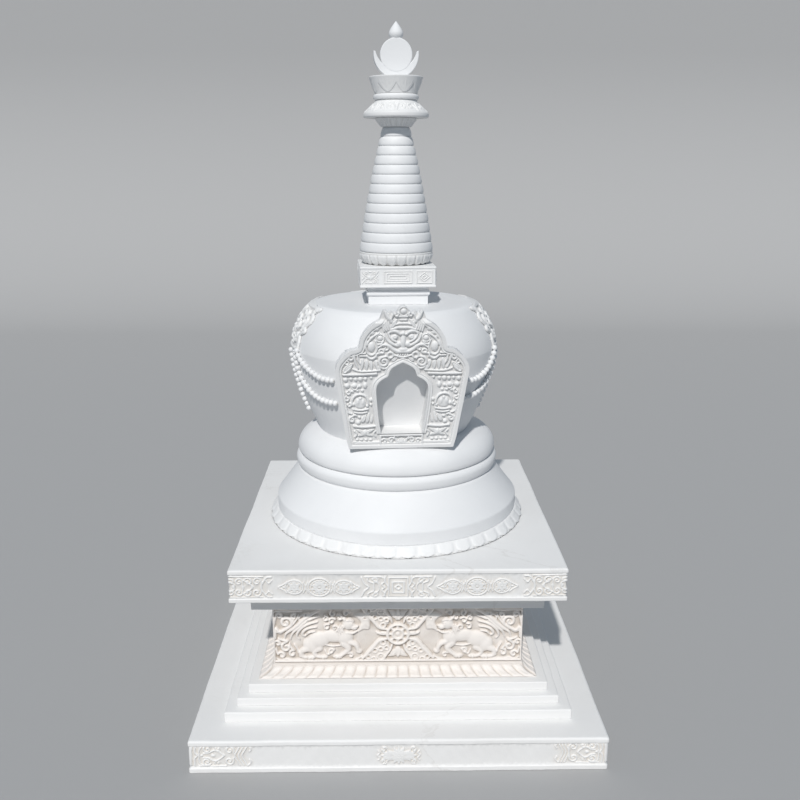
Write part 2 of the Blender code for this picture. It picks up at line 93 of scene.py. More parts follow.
# ---------------------------------------------------------------- marble
def marble(name, light, shade, warm, vein, vein_mix=0.35, dirt_and_shade=0.8, rough=0.42,
           tool=0.5, tool_scale=70.0, blotch=0.5, vein_scale=2.1, seed=0.0):
    """White marble: clouds, thin broken veins, crystal grain, tool marks, and a warm tint of dirt and painted shade in
    the hollows.
    """
    m = bpy.data.materials.new(name)
    m.use_nodes = True
    nt = m.node_tree
    b = nt.nodes["Principled BSDF"]

    def node(kind, **kw):
        n = nt.nodes.new(kind)
        for k, v in kw.items():
            setattr(n, k, v)
        return n

    def link(a, bb):
        nt.links.new(a, bb)

    co = node("ShaderNodeTexCoord").outputs["Object"]
    off = node("ShaderNodeVectorMath", operation='ADD')
    off.inputs[1].default_value = (seed * 1.7, seed * 0.9, seed * 1.3)
    link(co, off.inputs[0])
    co = off.outputs[0]

    def noise(scale, detail=4.0, rough_=0.55, distort=0.0, src=co):
        n = node("ShaderNodeTexNoise", noise_dimensions='3D')
        n.inputs["Scale"].default_value = scale
        n.inputs["Detail"].default_value = detail
        n.inputs["Roughness"].default_value = rough_
        n.inputs["Distortion"].default_value = distort
        link(src, n.inputs["Vector"])
        return n.outputs["Fac"]

    def remap(src, a, bb, c=0.0, d=1.0, smooth=True):
        n = node("ShaderNodeMapRange")
        n.interpolation_type = 'SMOOTHSTEP' if smooth else 'LINEAR'
        for i, v in enumerate((a, bb, c, d)):
            n.inputs[i + 1].default_value = v
        link(src, n.inputs[0])
        return n.outputs[0]

    def math_(op, a, bb=None):
        n = node("ShaderNodeMath", operation=op)
        for i, v in enumerate((a, bb)):
            if v is None:
                continue
            if isinstance(v, (int, float)):
                n.inputs[i].default_value = v
            else:
                link(v, n.inputs[i])
        return n.outputs[0]

    def mix(fac, a, bb, mode='MIX'):
        n = node("ShaderNodeMix", data_type='RGBA', blend_type=mode)
        for i, v in ((0, fac), (6, a), (7, bb)):
            if isinstance(v, (int, float)):
                n.inputs[i].default_value = v
            elif isinstance(v, tuple):
                n.inputs[i].default_value = (*v, 1.0)
            else:
                link(v, n.inputs[i])
        return n.outputs[2]

    clouds = remap(noise(3.1, 5, 0.6, 0.4), 0.38, 0.70)
    col = mix(math_('MULTIPLY', clouds, blotch), light, shade)
    # thin veins where a distorted noise crosses its middle value, kept only in patches
    v1 = math_('ABSOLUTE', math_('SUBTRACT', noise(vein_scale, 7, 0.62, 1.3), 0.5))
    v1 = remap(v1, 0.0, 0.011, 1.0, 0.0)
    p1 = remap(noise(1.35, 2, 0.5, 0.0), 0.50, 0.66)
    v2 = math_('ABSOLUTE', math_('SUBTRACT', noise(vein_scale * 2.7, 6, 0.6, 1.8), 0.52))
    v2 = remap(v2, 0.0, 0.016, 1.0, 0.0)
    p2 = remap(noise(2.6, 2, 0.5, 0.0), 0.56, 0.70)
    veins = math_('ADD', math_('MULTIPLY', v1, p1), math_('MULTIPLY', math_('MULTIPLY', v2, p2), 0.55))
    col = mix(math_('MULTIPLY', veins, vein_mix), col, vein)
    # crystal grain
    grain = remap(noise(620, 2, 0.5), 0.3, 0.7, 0.0, 1.0)
    col = mix(math_('MULTIPLY', grain, 0.05), col, (0.60, 0.61, 0.62))
    # dirt and age in the hollows of the carving, together with painted shade that darkens the same hollows
    hollow = node("ShaderNodeAttribute", attribute_type='GEOMETRY', attribute_name="cavity").outputs["Fac"]
    uneven = remap(noise(14, 4, 0.6), 0.30, 0.72, 0.65, 1.0)
    dirt_and_shade_mask = math_('MULTIPLY', hollow, uneven)
    col = mix(math_('MULTIPLY', dirt_and_shade_mask, dirt_and_shade), col, warm)
    link(col, b.inputs["Base Color"])
    rr = remap(noise(9, 4, 0.6), 0.3, 0.7, rough - 0.07, rough + 0.08)
    rr = math_('ADD', rr, math_('MULTIPLY', dirt_and_shade_mask, 0.18))
    link(rr, b.inputs["Roughness"])
    b.inputs["Specular IOR Level"].default_value = 0.30
    b.inputs["IOR"].default_value = 1.49
    marks = math_('ADD', math_('MULTIPLY', noise(tool_scale, 3, 0.55, 0.3), tool),
                  math_('MULTIPLY', noise(520, 2, 0.5), 0.22))
    bump = node("ShaderNodeBump")
    bump.inputs["Strength"].default_value = 0.35
    bump.inputs["Distance"].default_value = 0.0016
    link(marks, bump.inputs["Height"])
    link(bump.outputs[0], b.inputs["Normal"])
    return m


# the third colour of each marble is the brownish tint of dirt and painted shade in its hollows
LIGHT, SHADE = (0.835, 0.84, 0.845), (0.765, 0.77, 0.775)
SMOOTH = marble("marble_turned", LIGHT, SHADE, (0.62, 0.58, 0.52), (0.52, 0.53, 0.54),
                vein_mix=0.07, rough=0.56, tool=0.35, seed=1.0)
SLABS = marble("marble_plinth", (0.85, 0.845, 0.835), (0.79, 0.78, 0.765), (0.66, 0.59, 0.50),
               (0.53, 0.50, 0.46), vein_mix=0.24, rough=0.55, tool=0.5, vein_scale=1.7, seed=4.0)
CARVED = marble("marble_carved", (0.86, 0.815, 0.775), (0.815, 0.765, 0.72), (0.41, 0.345, 0.28),
                (0.60, 0.54, 0.46), vein_mix=0.15, dirt_and_shade=0.85, rough=0.55, tool=1.0, tool_scale=110, seed=7.0)
FRAMED = marble("marble_frame", (0.84, 0.84, 0.835), (0.795, 0.79, 0.785), (0.50, 0.475, 0.445),
                (0.58, 0.56, 0.54), vein_mix=0.10, dirt_and_shade=0.72, rough=0.50, tool=0.9, tool_scale=110, seed=9.0)


# ---------------------------------------------------------------- mesh helpers
def build(name, co, faces, cavity=None):
    me = bpy.data.meshes.new(name)
    me.from_pydata(co.tolist() if hasattr(co, "tolist") else co, [], faces)
    if cavity is not None:
        a = me.attributes.new("cavity", 'FLOAT', 'POINT')
        a.data.foreach_set("value", np.asarray(cavity, np.float32).ravel())
    ob = bpy.data.objects.new(name, me)
    bpy.context.scene.collection.objects.link(ob)
    return ob


def baked(ob, name=None):
    """Apply an object's modifiers."""
    bpy.context.view_layer.update()
    dg = bpy.context.evaluated_depsgraph_get()
    me = bpy.data.meshes.new_from_object(ob.evaluated_get(dg))
    old = ob.data
    ob.modifiers.clear()
    ob.data = me
    bpy.data.meshes.remove(old)
    me.name = name or ob.name
    return ob


def triangles(ob):
    return sum(len(p.vertices) - 2 for p in ob.data.polygons)


def reduce(ob, target):
    n = triangles(ob)
    if n > target:
        d = ob.modifiers.new("fewer", 'DECIMATE')
        d.ratio = target / n
        baked(ob)
    return ob


def settle(ob, mat, *nodes, weighted=True, body="root", sharp=None):
    """Give a finished piece its marble, its place and the CAD nodes it stands for."""
    ob.data.materials.clear()
    ob.data.materials.append(mat)
    ob.data.shade_smooth()
    if sharp:
        ob.data.set_sharp_from_angle(angle=math.radians(sharp))
    if weighted:
        w = ob.modifiers.new("faces_lead", 'WEIGHTED_NORMAL')
        w.mode = 'FACE_AREA'
        w.weight = 60
        w.keep_sharp = bool(sharp)
    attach(ob, body)
    if nodes:
        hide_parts(*nodes)
    return ob


def placed(ob, turn=0.0, shift=0.0, z=0.0):
    ob.data.transform(Matrix.Translation((shift, 0, z)) @ Matrix.Rotation(turn, 4, 'Z'))
    return ob


def fillet(pts, n=4):
    """Round the corners of a line of (x, z, radius)."""
    out = []
    m = len(pts)
    for i, p in enumerate(pts):
        r = p[2] if len(p) > 2 else 0.0
        if r <= 0 or i in (0, m - 1):
            out.append((p[0], p[1]))
            continue
        a, b, c = (np.array(pts[k][:2], float) for k in (i - 1, i, i + 1))
        d0, d1 = a - b, c - b
        l0, l1 = np.linalg.norm(d0), np.linalg.norm(d1)
        d0, d1 = d0 / l0, d1 / l1
        half = math.acos(max(-1, min(1, float(d0 @ d1)))) / 2
        if abs(half - math.pi / 2) < 0.02:
            out.append((p[0], p[1]))
            continue
        cut = min(r / math.tan(half), 0.48 * l0, 0.48 * l1)
        r = cut * math.tan(half)
        centre = b + (d0 + d1) / np.linalg.norm(d0 + d1) * (r / math.sin(half))
        s, e = b + d0 * cut - centre, b + d1 * cut - centre
        a0, a1 = math.atan2(s[1], s[0]), math.atan2(e[1], e[0])
        da = (a1 - a0 + math.pi) % TAU - math.pi
        for k in range(n + 1):
            t = a0 + da * k / n
            out.append((centre[0] + r * math.cos(t), centre[1] + r * math.sin(t)))
    return out


def dense(pts, step):
    """Add points so that no stretch of the line is longer than step."""
    out = [pts[0]]
    for a, b in zip(pts, pts[1:]):
        n = max(1, math.ceil(math.dist(a, b) / step - 1e-6))
        out += [(a[0] + (b[0] - a[0]) * k / n, a[1] + (b[1] - a[1]) * k / n) for k in range(1, n + 1)]
    return out


def line_normals(pts):
    p = np.array(pts, float)
    t = np.gradient(p, axis=0)
    t /= np.linalg.norm(t, axis=1)[:, None] + 1e-12
    return np.stack([-t[:, 1], t[:, 0]], 1)      # outward for a line that runs down the outer side


def wobble(co, amp, wave, seed=1):
    """Small smooth unevenness of hand-cut stone, the same every run."""
    rng = np.random.default_rng(seed)
    out = np.zeros(len(co))
    for k in range(7):
        d = rng.normal(size=3)
        d /= np.linalg.norm(d)
        f = TAU / (wave * (0.6 + 1.1 * rng.random()))
        out += np.sin(co @ d * f + rng.random() * TAU)
    return out * (amp / 2.6)


def lathe(name, prof, seg, disp=None, cavity=None, uneven=0.00025, wave=0.12, seed=1):
    """Turned stone from a line of (r, z) that starts and ends on the axis.
    disp(theta, r, z, k) moves the surface along the line's normal."""
    inner = prof[1:-1]
    nrm = line_normals(prof)[1:-1]
    R = np.array([p[0] for p in inner])
    Z = np.array([p[1] for p in inner])
    th = np.arange(seg) * TAU / seg
    T, RR = np.meshgrid(th, R, indexing='ij')
    _, ZZ = np.meshgrid(th, Z, indexing='ij')
    D = np.zeros_like(RR)
    C = np.zeros_like(RR)
    if disp is not None:
        D = disp(T, RR, ZZ)
        if isinstance(D, tuple):
            D, C = D
    NR, NZ = nrm[:, 0][None, :], nrm[:, 1][None, :]
    X, Y = RR * np.sin(T), -RR * np.cos(T)
    flat = np.stack([X, Y, ZZ], -1).reshape(-1, 3)
    if uneven:
        side = np.clip(np.abs(NR), 0, 1)
        D = D + wobble(flat, uneven, wave, seed).reshape(D.shape) * side
    r2 = RR + D * NR
    co = np.stack([r2 * np.sin(T), -r2 * np.cos(T), ZZ + D * NZ], -1).reshape(-1, 3)
    m = len(inner)
    idx = np.arange(seg * m).reshape(seg, m)
    nx = np.roll(idx, -1, axis=0)
    quads = np.stack([idx[:, :-1], idx[:, 1:], nx[:, 1:], nx[:, :-1]], -1).reshape(-1, 4).tolist()
    quads.append(nx[:, 0][::1].tolist())          # top
    quads.append(idx[::-1, -1].tolist())          # underside
    ob = build(name, co, quads, C.reshape(-1))
    return ob


def side_of(k, u, h, z):
    """Point on side k of a square course: side 0 faces the front, 1 the right."""
    c, s = ((1, 0), (0, 1), (-1, 0), (0, -1))[k]
    return (u * c + h * s, u * s - h * c, z)


def course(name, prof, rc, us, relief=None, uneven=0.0004, seed=1, petals=None):
    """Square moulded stone. prof is a line of (half, z) from the top down; rc rounds the arrises in plan.
    us are places from -1 to 1 along a side. relief[i] = (offset, cavity) arrays along the side for line point i."""
    us = np.asarray(us)
    nrm = line_normals(prof)
    rows, cav = [], []
    m = len(prof)
    arc = [0.2, 0.5, 0.8]
    for i, (h, z) in enumerate(prof):
        off, cv = (relief[i] if relief and i in relief else (np.zeros(len(us)), np.zeros(len(us))))
        ring, cr = [], []
        nx, nz = nrm[i]
        if i in (0, m - 1):
            nx, nz = 0.0, 0.0
        r = min(rc, h * 0.5)
        for k in range(4):
            u = us * (h - r)
            hh = h + off * nx
            zz = z + off * nz
            c, s = ((1, 0), (0, 1), (-1, 0), (0, -1))[k]
            ring.append(np.stack([u * c + hh * s, u * s - hh * c, np.broadcast_to(zz, u.shape)], -1))
            cr.append(cv)
            e = off[-1] * nx
            pts = []
            for a in arc:
                t = a * math.pi / 2
                uu, hv = (h - r) + (r + e) * math.sin(t), (h - r) + (r + e) * math.cos(t)
                pts.append((uu * c + hv * s, uu * s - hv * c, z + off[-1] * nz))
            ring.append(np.array(pts))
            cr.append(np.full(len(arc), cv[-1]))
        rows.append(np.concatenate(ring))
        cav.append(np.concatenate(cr))
    grid = np.stack(rows, 1)                      # (perimeter, rows, 3)
    n = grid.shape[0]
    co = grid.reshape(-1, 3)
    if uneven:
        w1 = wobble(co, uneven, 0.16, seed)
        w2 = wobble(co, uneven * 0.5, 0.035, seed + 5)
        rad = np.maximum(np.abs(co[:, 0]), np.abs(co[:, 1]))
        outer = np.clip((rad - (rad.max() - 0.02)) / 0.01, 0, 1)
        outer = 0.35 + 0.65 * outer
        fx = np.where(np.abs(co[:, 0]) >= np.abs(co[:, 1]), np.sign(co[:, 0]), 0)
        fy = np.where(np.abs(co[:, 1]) > np.abs(co[:, 0]), np.sign(co[:, 1]), 0)
        co = co.copy()
        co[:, 0] += fx * (w1 + w2) * outer
        co[:, 1] += fy * (w1 + w2) * outer
    idx = np.arange(n * m).reshape(n, m)
    nxt = np.roll(idx, -1, axis=0)
    quads = np.stack([idx[:, :-1], idx[:, 1:], nxt[:, 1:], nxt[:, :-1]], -1).reshape(-1, 4).tolist()
    quads.append(nxt[:, 0].tolist())
    quads.append(idx[::-1, -1].tolist())
    return build(name, co, quads, np.stack(cav, 1).reshape(-1))


# ---------------------------------------------------------------- relief carving
def shape_of(kind, q):
    q = np.clip(q, 0, 1)
    if kind == 'round':
        return np.sqrt(np.maximum(0, 1 - q * q))
    if kind == 'band':
        return np.sqrt(np.maximum(0, 1 - np.clip((q - 0.62) / 0.38, 0, 1) ** 2))
    if kind == 'ridge':
        return (1 - q) ** 0.8
    if kind == 'hollow':
        return np.sqrt(np.maximum(0, 1 - np.clip((q - 0.72) / 0.28, 0, 1) ** 2)) * (1 - 0.42 * np.clip(1 - (q / 0.62) ** 2, 0, 1))
    if kind == 'vee':
        return 1 - q
    if kind == 'soft':
        return (1 - q * q) ** 2
    raise ValueError(kind)


def smooth_line(pts, n=6, closed=False):
    """Catmull-Rom line through points."""
    p = np.asarray(pts, float)
    if len(p) < 3:
        return p
    ext = np.vstack([p[-1], p, p[0], p[1]]) if closed else np.vstack([2 * p[0] - p[1], p, 2 * p[-1] - p[-2]])
    out = []
    last = len(p) if closed else len(p) - 1
    for i in range(last):
        a, b, c, d = ext[i:i + 4]
        t = (np.arange(n) / n)[:, None]
        out.append(0.5 * (2 * b + (c - a) * t + (2 * a - 5 * b + 4 * c - d) * t ** 2 + (3 * b - a - 3 * c + d) * t ** 3))
    if not closed:
        out.append(p[-1:])
    return np.vstack(out)


def to_outline(poly, U, V):
    """Distance to a closed outline, the nearest point on it, and whether a point is inside."""
    best = np.full(U.shape, 9.0)
    nu, nv = np.zeros_like(U), np.zeros_like(V)
    inside = np.zeros(U.shape, bool)
    m = len(poly)
    for i in range(m):
        (a0, a1), (b0, b1) = poly[i], poly[(i + 1) % m]
        d0, d1 = b0 - a0, b1 - a1
        t = np.clip(((U - a0) * d0 + (V - a1) * d1) / (d0 * d0 + d1 * d1 + 1e-15), 0, 1)
        pu, pv = a0 + t * d0, a1 + t * d1
        d = np.hypot(U - pu, V - pv)
        closer = d < best
        best = np.where(closer, d, best)
        nu, nv = np.where(closer, pu, nu), np.where(closer, pv, nv)
        if a1 != b1:
            cross = ((a1 > V) != (b1 > V)) & (U < d0 * (V - a1) / (b1 - a1) + a0)
            inside ^= cross
    return best, nu, nv, inside


class Relief:
    """A carved surface as heights over a flat ground, drawn with chisel-like forms. Metres."""

    def __init__(self, u0, u1, v0, v1, step, nu=None, nv=None):
        nu = nu or int(round((u1 - u0) / step)) + 1
        nv = nv or int(round((v1 - v0) / step)) + 1
        self.u, self.v = np.linspace(u0, u1, nu), np.linspace(v0, v1, nv)
        self.h = np.zeros((nu, nv))
        self.step = (u1 - u0) / (nu - 1)

    def win(self, u0, u1, v0, v1):
        i0, i1 = max(0, np.searchsorted(self.u, u0) - 1), min(len(self.u), np.searchsorted(self.u, u1) + 1)
        j0, j1 = max(0, np.searchsorted(self.v, v0) - 1), min(len(self.v), np.searchsorted(self.v, v1) + 1)
        if i0 >= i1 or j0 >= j1:
            return None
        U, V = np.meshgrid(self.u[i0:i1], self.v[j0:j1], indexing='ij')
        return (slice(i0, i1), slice(j0, j1)), U, V

    def put(self, sl, val, where, mode):
        h = self.h[sl]
        if mode == 'max':
            h[where] = np.maximum(h[where], val[where])
        elif mode == 'cut':
            h[where] = np.maximum(0.0, h[where] - val[where])
        elif mode == 'floor':
            h[where] = np.minimum(h[where], val[where])
        elif mode == 'add':
            h[where] += val[where]
        self.h[sl] = h

    def stroke(self, pts, w, h, kind='round', base=0.0, mode='max', smooth=5):
        p = np.asarray(pts, float)
        w = np.asarray(w if hasattr(w, '__len__') else [w], float)
        hh = np.asarray(h if hasattr(h, '__len__') else [h], float)
        if smooth and len(p) > 2:
            p = smooth_line(p, smooth)
        n = len(p)
        w = np.interp(np.linspace(0, 1, n), np.linspace(0, 1, len(w)), w) if len(w) > 1 else np.full(n, w[0])
        hh = np.interp(np.linspace(0, 1, n), np.linspace(0, 1, len(hh)), hh) if len(hh) > 1 else np.full(n, hh[0])
        pad = w.max() + 1e-4
        got = self.win(p[:, 0].min() - pad, p[:, 0].max() + pad, p[:, 1].min() - pad, p[:, 1].max() + pad)
        if got is None:
            return self
        sl, U, V = got
        best = np.full(U.shape, 9.0)
        hv = np.zeros_like(U)
        for a in range(n - 1):
            p0, p1 = p[a]
            d0, d1 = p[a + 1] - p[a]
            t = np.clip(((U - p0) * d0 + (V - p1) * d1) / (d0 * d0 + d1 * d1 + 1e-15), 0, 1)
            r = np.hypot(U - p0 - t * d0, V - p1 - t * d1) / np.maximum(w[a] + (w[a + 1] - w[a]) * t, 1e-6)
            near = r < best
            best = np.where(near, r, best)
            hv = np.where(near, hh[a] + (hh[a + 1] - hh[a]) * t, hv)
        self.put(sl, base + hv * shape_of(kind, best), best < 1, mode)
        return self

    def dome(self, c, ru, rv, h, ang=0.0, kind='round', base=0.0, mode='max'):
        pad = max(ru, rv)
        got = self.win(c[0] - pad, c[0] + pad, c[1] - pad, c[1] + pad)
        if got is None:
            return self
        sl, U, V = got
        ca, sa = math.cos(ang), math.sin(ang)
        x, y = (U - c[0]) * ca + (V - c[1]) * sa, -(U - c[0]) * sa + (V - c[1]) * ca
        q = np.hypot(x / ru, y / rv)
        self.put(sl, base + h * shape_of(kind, q), q < 1, mode)
        return self

    def ring(self, c, r, w, h, kind='round', base=0.0, mode='max'):
        got = self.win(c[0] - r - w, c[0] + r + w, c[1] - r - w, c[1] + r + w)
        if got is None:
            return self
        sl, U, V = got
        q = np.abs(np.hypot(U - c[0], V - c[1]) - r) / w
        self.put(sl, base + h * shape_of(kind, q), q < 1, mode)
        return self

    def hole(self, c, ru, rv, level, ang=0.0):
        pad = max(ru, rv)
        got = self.win(c[0] - pad, c[0] + pad, c[1] - pad, c[1] + pad)
        if got is None:
            return self
        sl, U, V = got
        ca, sa = math.cos(ang), math.sin(ang)
        x, y = (U - c[0]) * ca + (V - c[1]) * sa, -(U - c[0]) * sa + (V - c[1]) * ca
        q = np.hypot(x / ru, y / rv)
        val = level + self.h[sl] * np.clip((q - 0.6) / 0.4, 0, 1) ** 2
        self.put(sl, val, q < 1, 'floor')
        return self

    def fill(self, poly, h, edge, base=0.0, mode='max', smooth=0, dish=0.0):
        p = np.asarray(poly, float)
        if smooth:
            p = smooth_line(p, smooth, closed=True)
        got = self.win(p[:, 0].min(), p[:, 0].max(), p[:, 1].min(), p[:, 1].max())
        if got is None:
            return self
        sl, U, V = got
        d, _, _, ins = to_outline(p, U, V)
        q = np.clip(d / edge, 0, 1)
        self.put(sl, base + h * np.sqrt(np.maximum(0, 1 - (1 - q) ** 2)) - dish * np.clip(d / edge - 1, 0, 1), ins, mode)
        return self

    def volute(self, c, r, start, turns, ccw, w, h, kind='round', eye=True, tail=None, base=0.0):
        """Spiral scroll that winds in to c; tail is a list of points that lead up to its outer end."""
        n = max(10, int(turns * 18))
        t = np.linspace(0, 1, n)
        a = start + (1 if ccw else -1) * turns * TAU * t
        rr = r * (1 - t) ** 0.85 + r * 0.10 * t
        pts = np.stack([c[0] + rr * np.cos(a), c[1] + rr * np.sin(a)], 1)
        ws = np.concatenate([[w], [w * 0.5]])
        if tail is not None:
            tl = np.asarray(tail, float)
            tl = smooth_line(np.vstack([tl, pts[:1]]), 6)[:-1]
            pts = np.vstack([tl, pts])
            ws = np.array([w * 0.55, w, w, w * 0.5])
        self.stroke(pts, ws, h, kind, base=base, smooth=0)
        if eye:
            self.dome(c, w * 0.95, w * 0.95, h * 1.05, base=base)
        return self

    def petal(self, c, ang, length, width, h, base=0.0, rim=0.35, vein=0.3, fat=0.62):
        """A leaf from c in direction ang, with a raised edge and a fold down its middle."""
        pad = max(length, width) * 1.05
        got = self.win(c[0] - pad, c[0] + pad, c[1] - pad, c[1] + pad)
        if got is None:
            return self
        sl, U, V = got
        ca, sa = math.cos(ang), math.sin(ang)
        s, t = ((U - c[0]) * ca + (V - c[1]) * sa) / length, -(U - c[0]) * sa + (V - c[1]) * ca
        sc = np.clip(s, 0, 1)
        half = width * np.sin(math.pi * sc ** fat) ** 0.75
        q = np.abs(t) / np.maximum(half, 1e-6)
        ins = (s > 0) & (s < 1) & (q < 1)
        body = np.sqrt(np.maximum(0, 1 - np.clip((q - 0.6) / 0.4, 0, 1) ** 2))
        body = body * (1 - rim * np.clip(1 - (q / 0.75) ** 2, 0, 1)) + vein * rim * np.exp(-(q / 0.16) ** 2)
        body *= 0.72 + 0.28 * np.sin(math.pi * np.clip(sc, 0, 1) ** 0.7)
        self.put(sl, base + h * body, ins, 'max')
        return self

    def blurred(self, radius):
        n = max(1, int(round(radius / self.step)))
        a = self.h
        for _ in range(2):
            for ax in (0, 1):
                pad = [(n, n) if k == ax else (0, 0) for k in (0, 1)]
                c = np.cumsum(np.insert(np.pad(a, pad, mode='edge'), 0, 0, axis=ax), axis=ax)
                hi = np.take(c, np.arange(2 * n + 1, c.shape[ax]), axis=ax)
                lo = np.take(c, np.arange(0, c.shape[ax] - 2 * n - 1), axis=ax)
                a = (hi - lo) / (2 * n + 1)
        return a

    def soften(self, radius=0.0, mix=1.0):
        n = self.step if radius == 0 else radius
        self.h = self.h * (1 - mix) + self.blurred(n) * mix
        return self

    def cavity(self, scale, r1=0.004, r2=0.010):
        # How far each point lies below its surroundings; the marble paints dirt and shade into these hollows.
        near = (self.blurred(r1) - self.h) / scale
        wide = (self.blurred(r2) - self.h) / scale
        return np.clip(0.6 * near + 0.7 * wide, 0, 1)


def sheet(name, f, cav, keep=None, outline=None, holes=()):
    """Open mesh of a relief in its own frame: x along, z up, the front towards -y. keep masks its cells."""
    nu, nv = f.h.shape
    U, V = np.meshgrid(f.u, f.v, indexing='ij')
    H = f.h.copy()
    idx = np.arange(nu * nv).reshape(nu, nv)
    quads = np.stack([idx[:-1, :-1], idx[1:, :-1], idx[1:, 1:], idx[:-1, 1:]], -1)
    if keep is not None:
        quads = quads[keep]
        quads = quads.reshape(-1, 4)
        cnt = np.zeros(nu * nv, int)
        np.add.at(cnt, quads.ravel(), 1)
        border = (cnt > 0) & (cnt < 4)
        bu, bv = U.ravel()[border], V.ravel()[border]
        best = np.full(bu.shape, 9.0)
        tu, tv = bu.copy(), bv.copy()
        for poly in (outline, *holes):
            d, pu, pv, _ = to_outline(poly, bu, bv)
            c = d < best
            best, tu, tv = np.where(c, d, best), np.where(c, pu, tu), np.where(c, pv, tv)
        uu, vv = U.ravel().copy(), V.ravel().copy()
        ok = best < 2.2 * f.step
        ib = np.flatnonzero(border)
        uu[ib[ok]], vv[ib[ok]] = tu[ok], tv[ok]
        U, V = uu.reshape(U.shape), vv.reshape(V.shape)
    else:
        quads = quads.reshape(-1, 4)
    used = np.zeros(nu * nv, bool)
    used[quads.ravel()] = True
    remap = np.cumsum(used) - 1
    co = np.stack([U.ravel(), -H.ravel(), V.ravel()], 1)[used]
    return build(name, co, remap[quads].tolist(), cav.ravel()[used])


def close_back(ob, back, hole=None):
    """Carry the open edge of a sheet back to back(x, z) and close it behind, except inside hole."""
    bm = bmesh.new()
    bm.from_mesh(ob.data)
    bmesh.ops.remove_doubles(bm, verts=bm.verts, dist=1e-6)
    edge = [e for e in bm.edges if len(e.link_faces) == 1]
    ret = bmesh.ops.extrude_edge_only(bm, edges=edge)
    new_v = [g for g in ret['geom'] if isinstance(g, bmesh.types.BMVert)]
    new_e = [g for g in ret['geom'] if isinstance(g, bmesh.types.BMEdge)]
    vs = set(new_v)
    rim = [e for e in new_e if e.verts[0] in vs and e.verts[1] in vs]
    for v in new_v:
        v.co.y = back(v.co.x, v.co.z)
    filled = bmesh.ops.triangle_fill(bm, edges=rim, use_beauty=True, use_dissolve=False, normal=(0.0, 1.0, 0.0))
    if hole is not None:
        faces = [g for g in filled['geom'] if isinstance(g, bmesh.types.BMFace)]
        mid = np.array([[f.calc_center_median().x, f.calc_center_median().z] for f in faces])
        inside = to_outline(hole, mid[:, 0], mid[:, 1])[3]
        bmesh.ops.delete(bm, geom=[f for f, i in zip(faces, inside) if i], context='FACES_ONLY')
    bmesh.ops.recalc_face_normals(bm, faces=bm.faces)
    bm.to_mesh(ob.data)
    bm.free()
    return ob


# ---------------------------------------------------------------- plinth courses
BASE_HALF, BASE_TOP = 0.575, 0.100
DADO_HALF, DADO_TOP = 0.346, 0.405
SLAB_HALF, SLAB_TOP, SLAB_LOW = 0.464, 0.551, 0.4540
LIP = 0.004
TORUS2_TOP, CREASE_Z, VASE_TOP = 0.832, 1.085, 1.216


def sparse_us(n=26):
    """Places along a plain side: close together only at the corners."""
    e = [0.0, 0.004, 0.012, 0.03]
    mid = np.linspace(0.06, 1.94, n)
    return np.concatenate([e, mid, [2 - x for x in reversed(e)]]) - 1


def plain_course(name, half, top, low, mat, *nodes, rt=0.0035, rb=0.0015, seed=1, rc=0.003, n=40, uneven=0.0006):
    prof = fillet([(half * 0.5, top), (half - 0.012, top), (half, top, rt), (half, low, rb), (half - 0.010, low), (half * 0.5, low)], 5)
    prof = dense(prof, 0.012)
    keep = [p for p in prof if p[0] > half - 0.014]
    prof = [(half * 0.5, top)] + keep + [(half * 0.5, low)]
    return settle(course(name, prof, rc, sparse_us(n), uneven=uneven, seed=seed), mat, *nodes)


plain_course("plinth_step_lower_stone", 0.488, 0.130, 0.1003, SLABS, "plinth_step_lower", seed=11)
plain_course("plinth_step_middle_stone", 0.457, 0.154, 0.1303, SLABS, "plinth_step_middle", seed=12)
plain_course("plinth_step_upper_stone", 0.428, 0.180, 0.1543, SLABS, "plinth_step_upper", seed=13)
plain_course("cornice_fillet_stone", 0.412, 0.4537, 0.4053, SLABS, "cornice_fillet", seed=14, rt=0.002, rb=0.003, rc=0.002)
plain_course("dado_core", DADO_HALF, DADO_TOP, 0.2053, CARVED, "dado_block", seed=15, uneven=0.0003)


def carved_course(name, half, top, low, z_hi, z_lo, f, cav, mat, target, *nodes, rc=0.003, turn=0.0, seed=1, lip=LIP, rt=0.006, rb=0.003, relief_scale=1.0):
    """Square stone whose four faces carry the same relief f between z_lo and z_hi, behind plain lips."""
    face = half - lip
    top_part = fillet([(half * 0.62, top), (half - 0.014, top), (half, top, rt), (half, z_hi + lip * 0.9, 0.0015), (face, z_hi, 0.0008)], 4)
    low_part = fillet([(face, z_lo, 0.0008), (half, z_lo - lip * 0.9, 0.0015), (half, low, rb), (half - 0.012, low), (half * 0.62, low)], 4)
    vs = f.v[::-1]
    mid = [(face, z) for z in vs[1:-1]]
    prof = top_part + mid + low_part
    relief = {}
    for k in range(len(mid)):
        j = len(f.v) - 2 - k
        relief[len(top_part) + k] = (f.h[:, j], cav[:, j])
    us = f.u / (face - min(rc, face * 0.5))
    # the rows of the face keep their own normal, straight out
    ob = course(name, prof, rc, us, relief=relief, seed=seed, uneven=0.0005)
    reduce(ob, target)
    if turn:
        placed(ob, turn)
    return settle(ob, mat, *nodes)


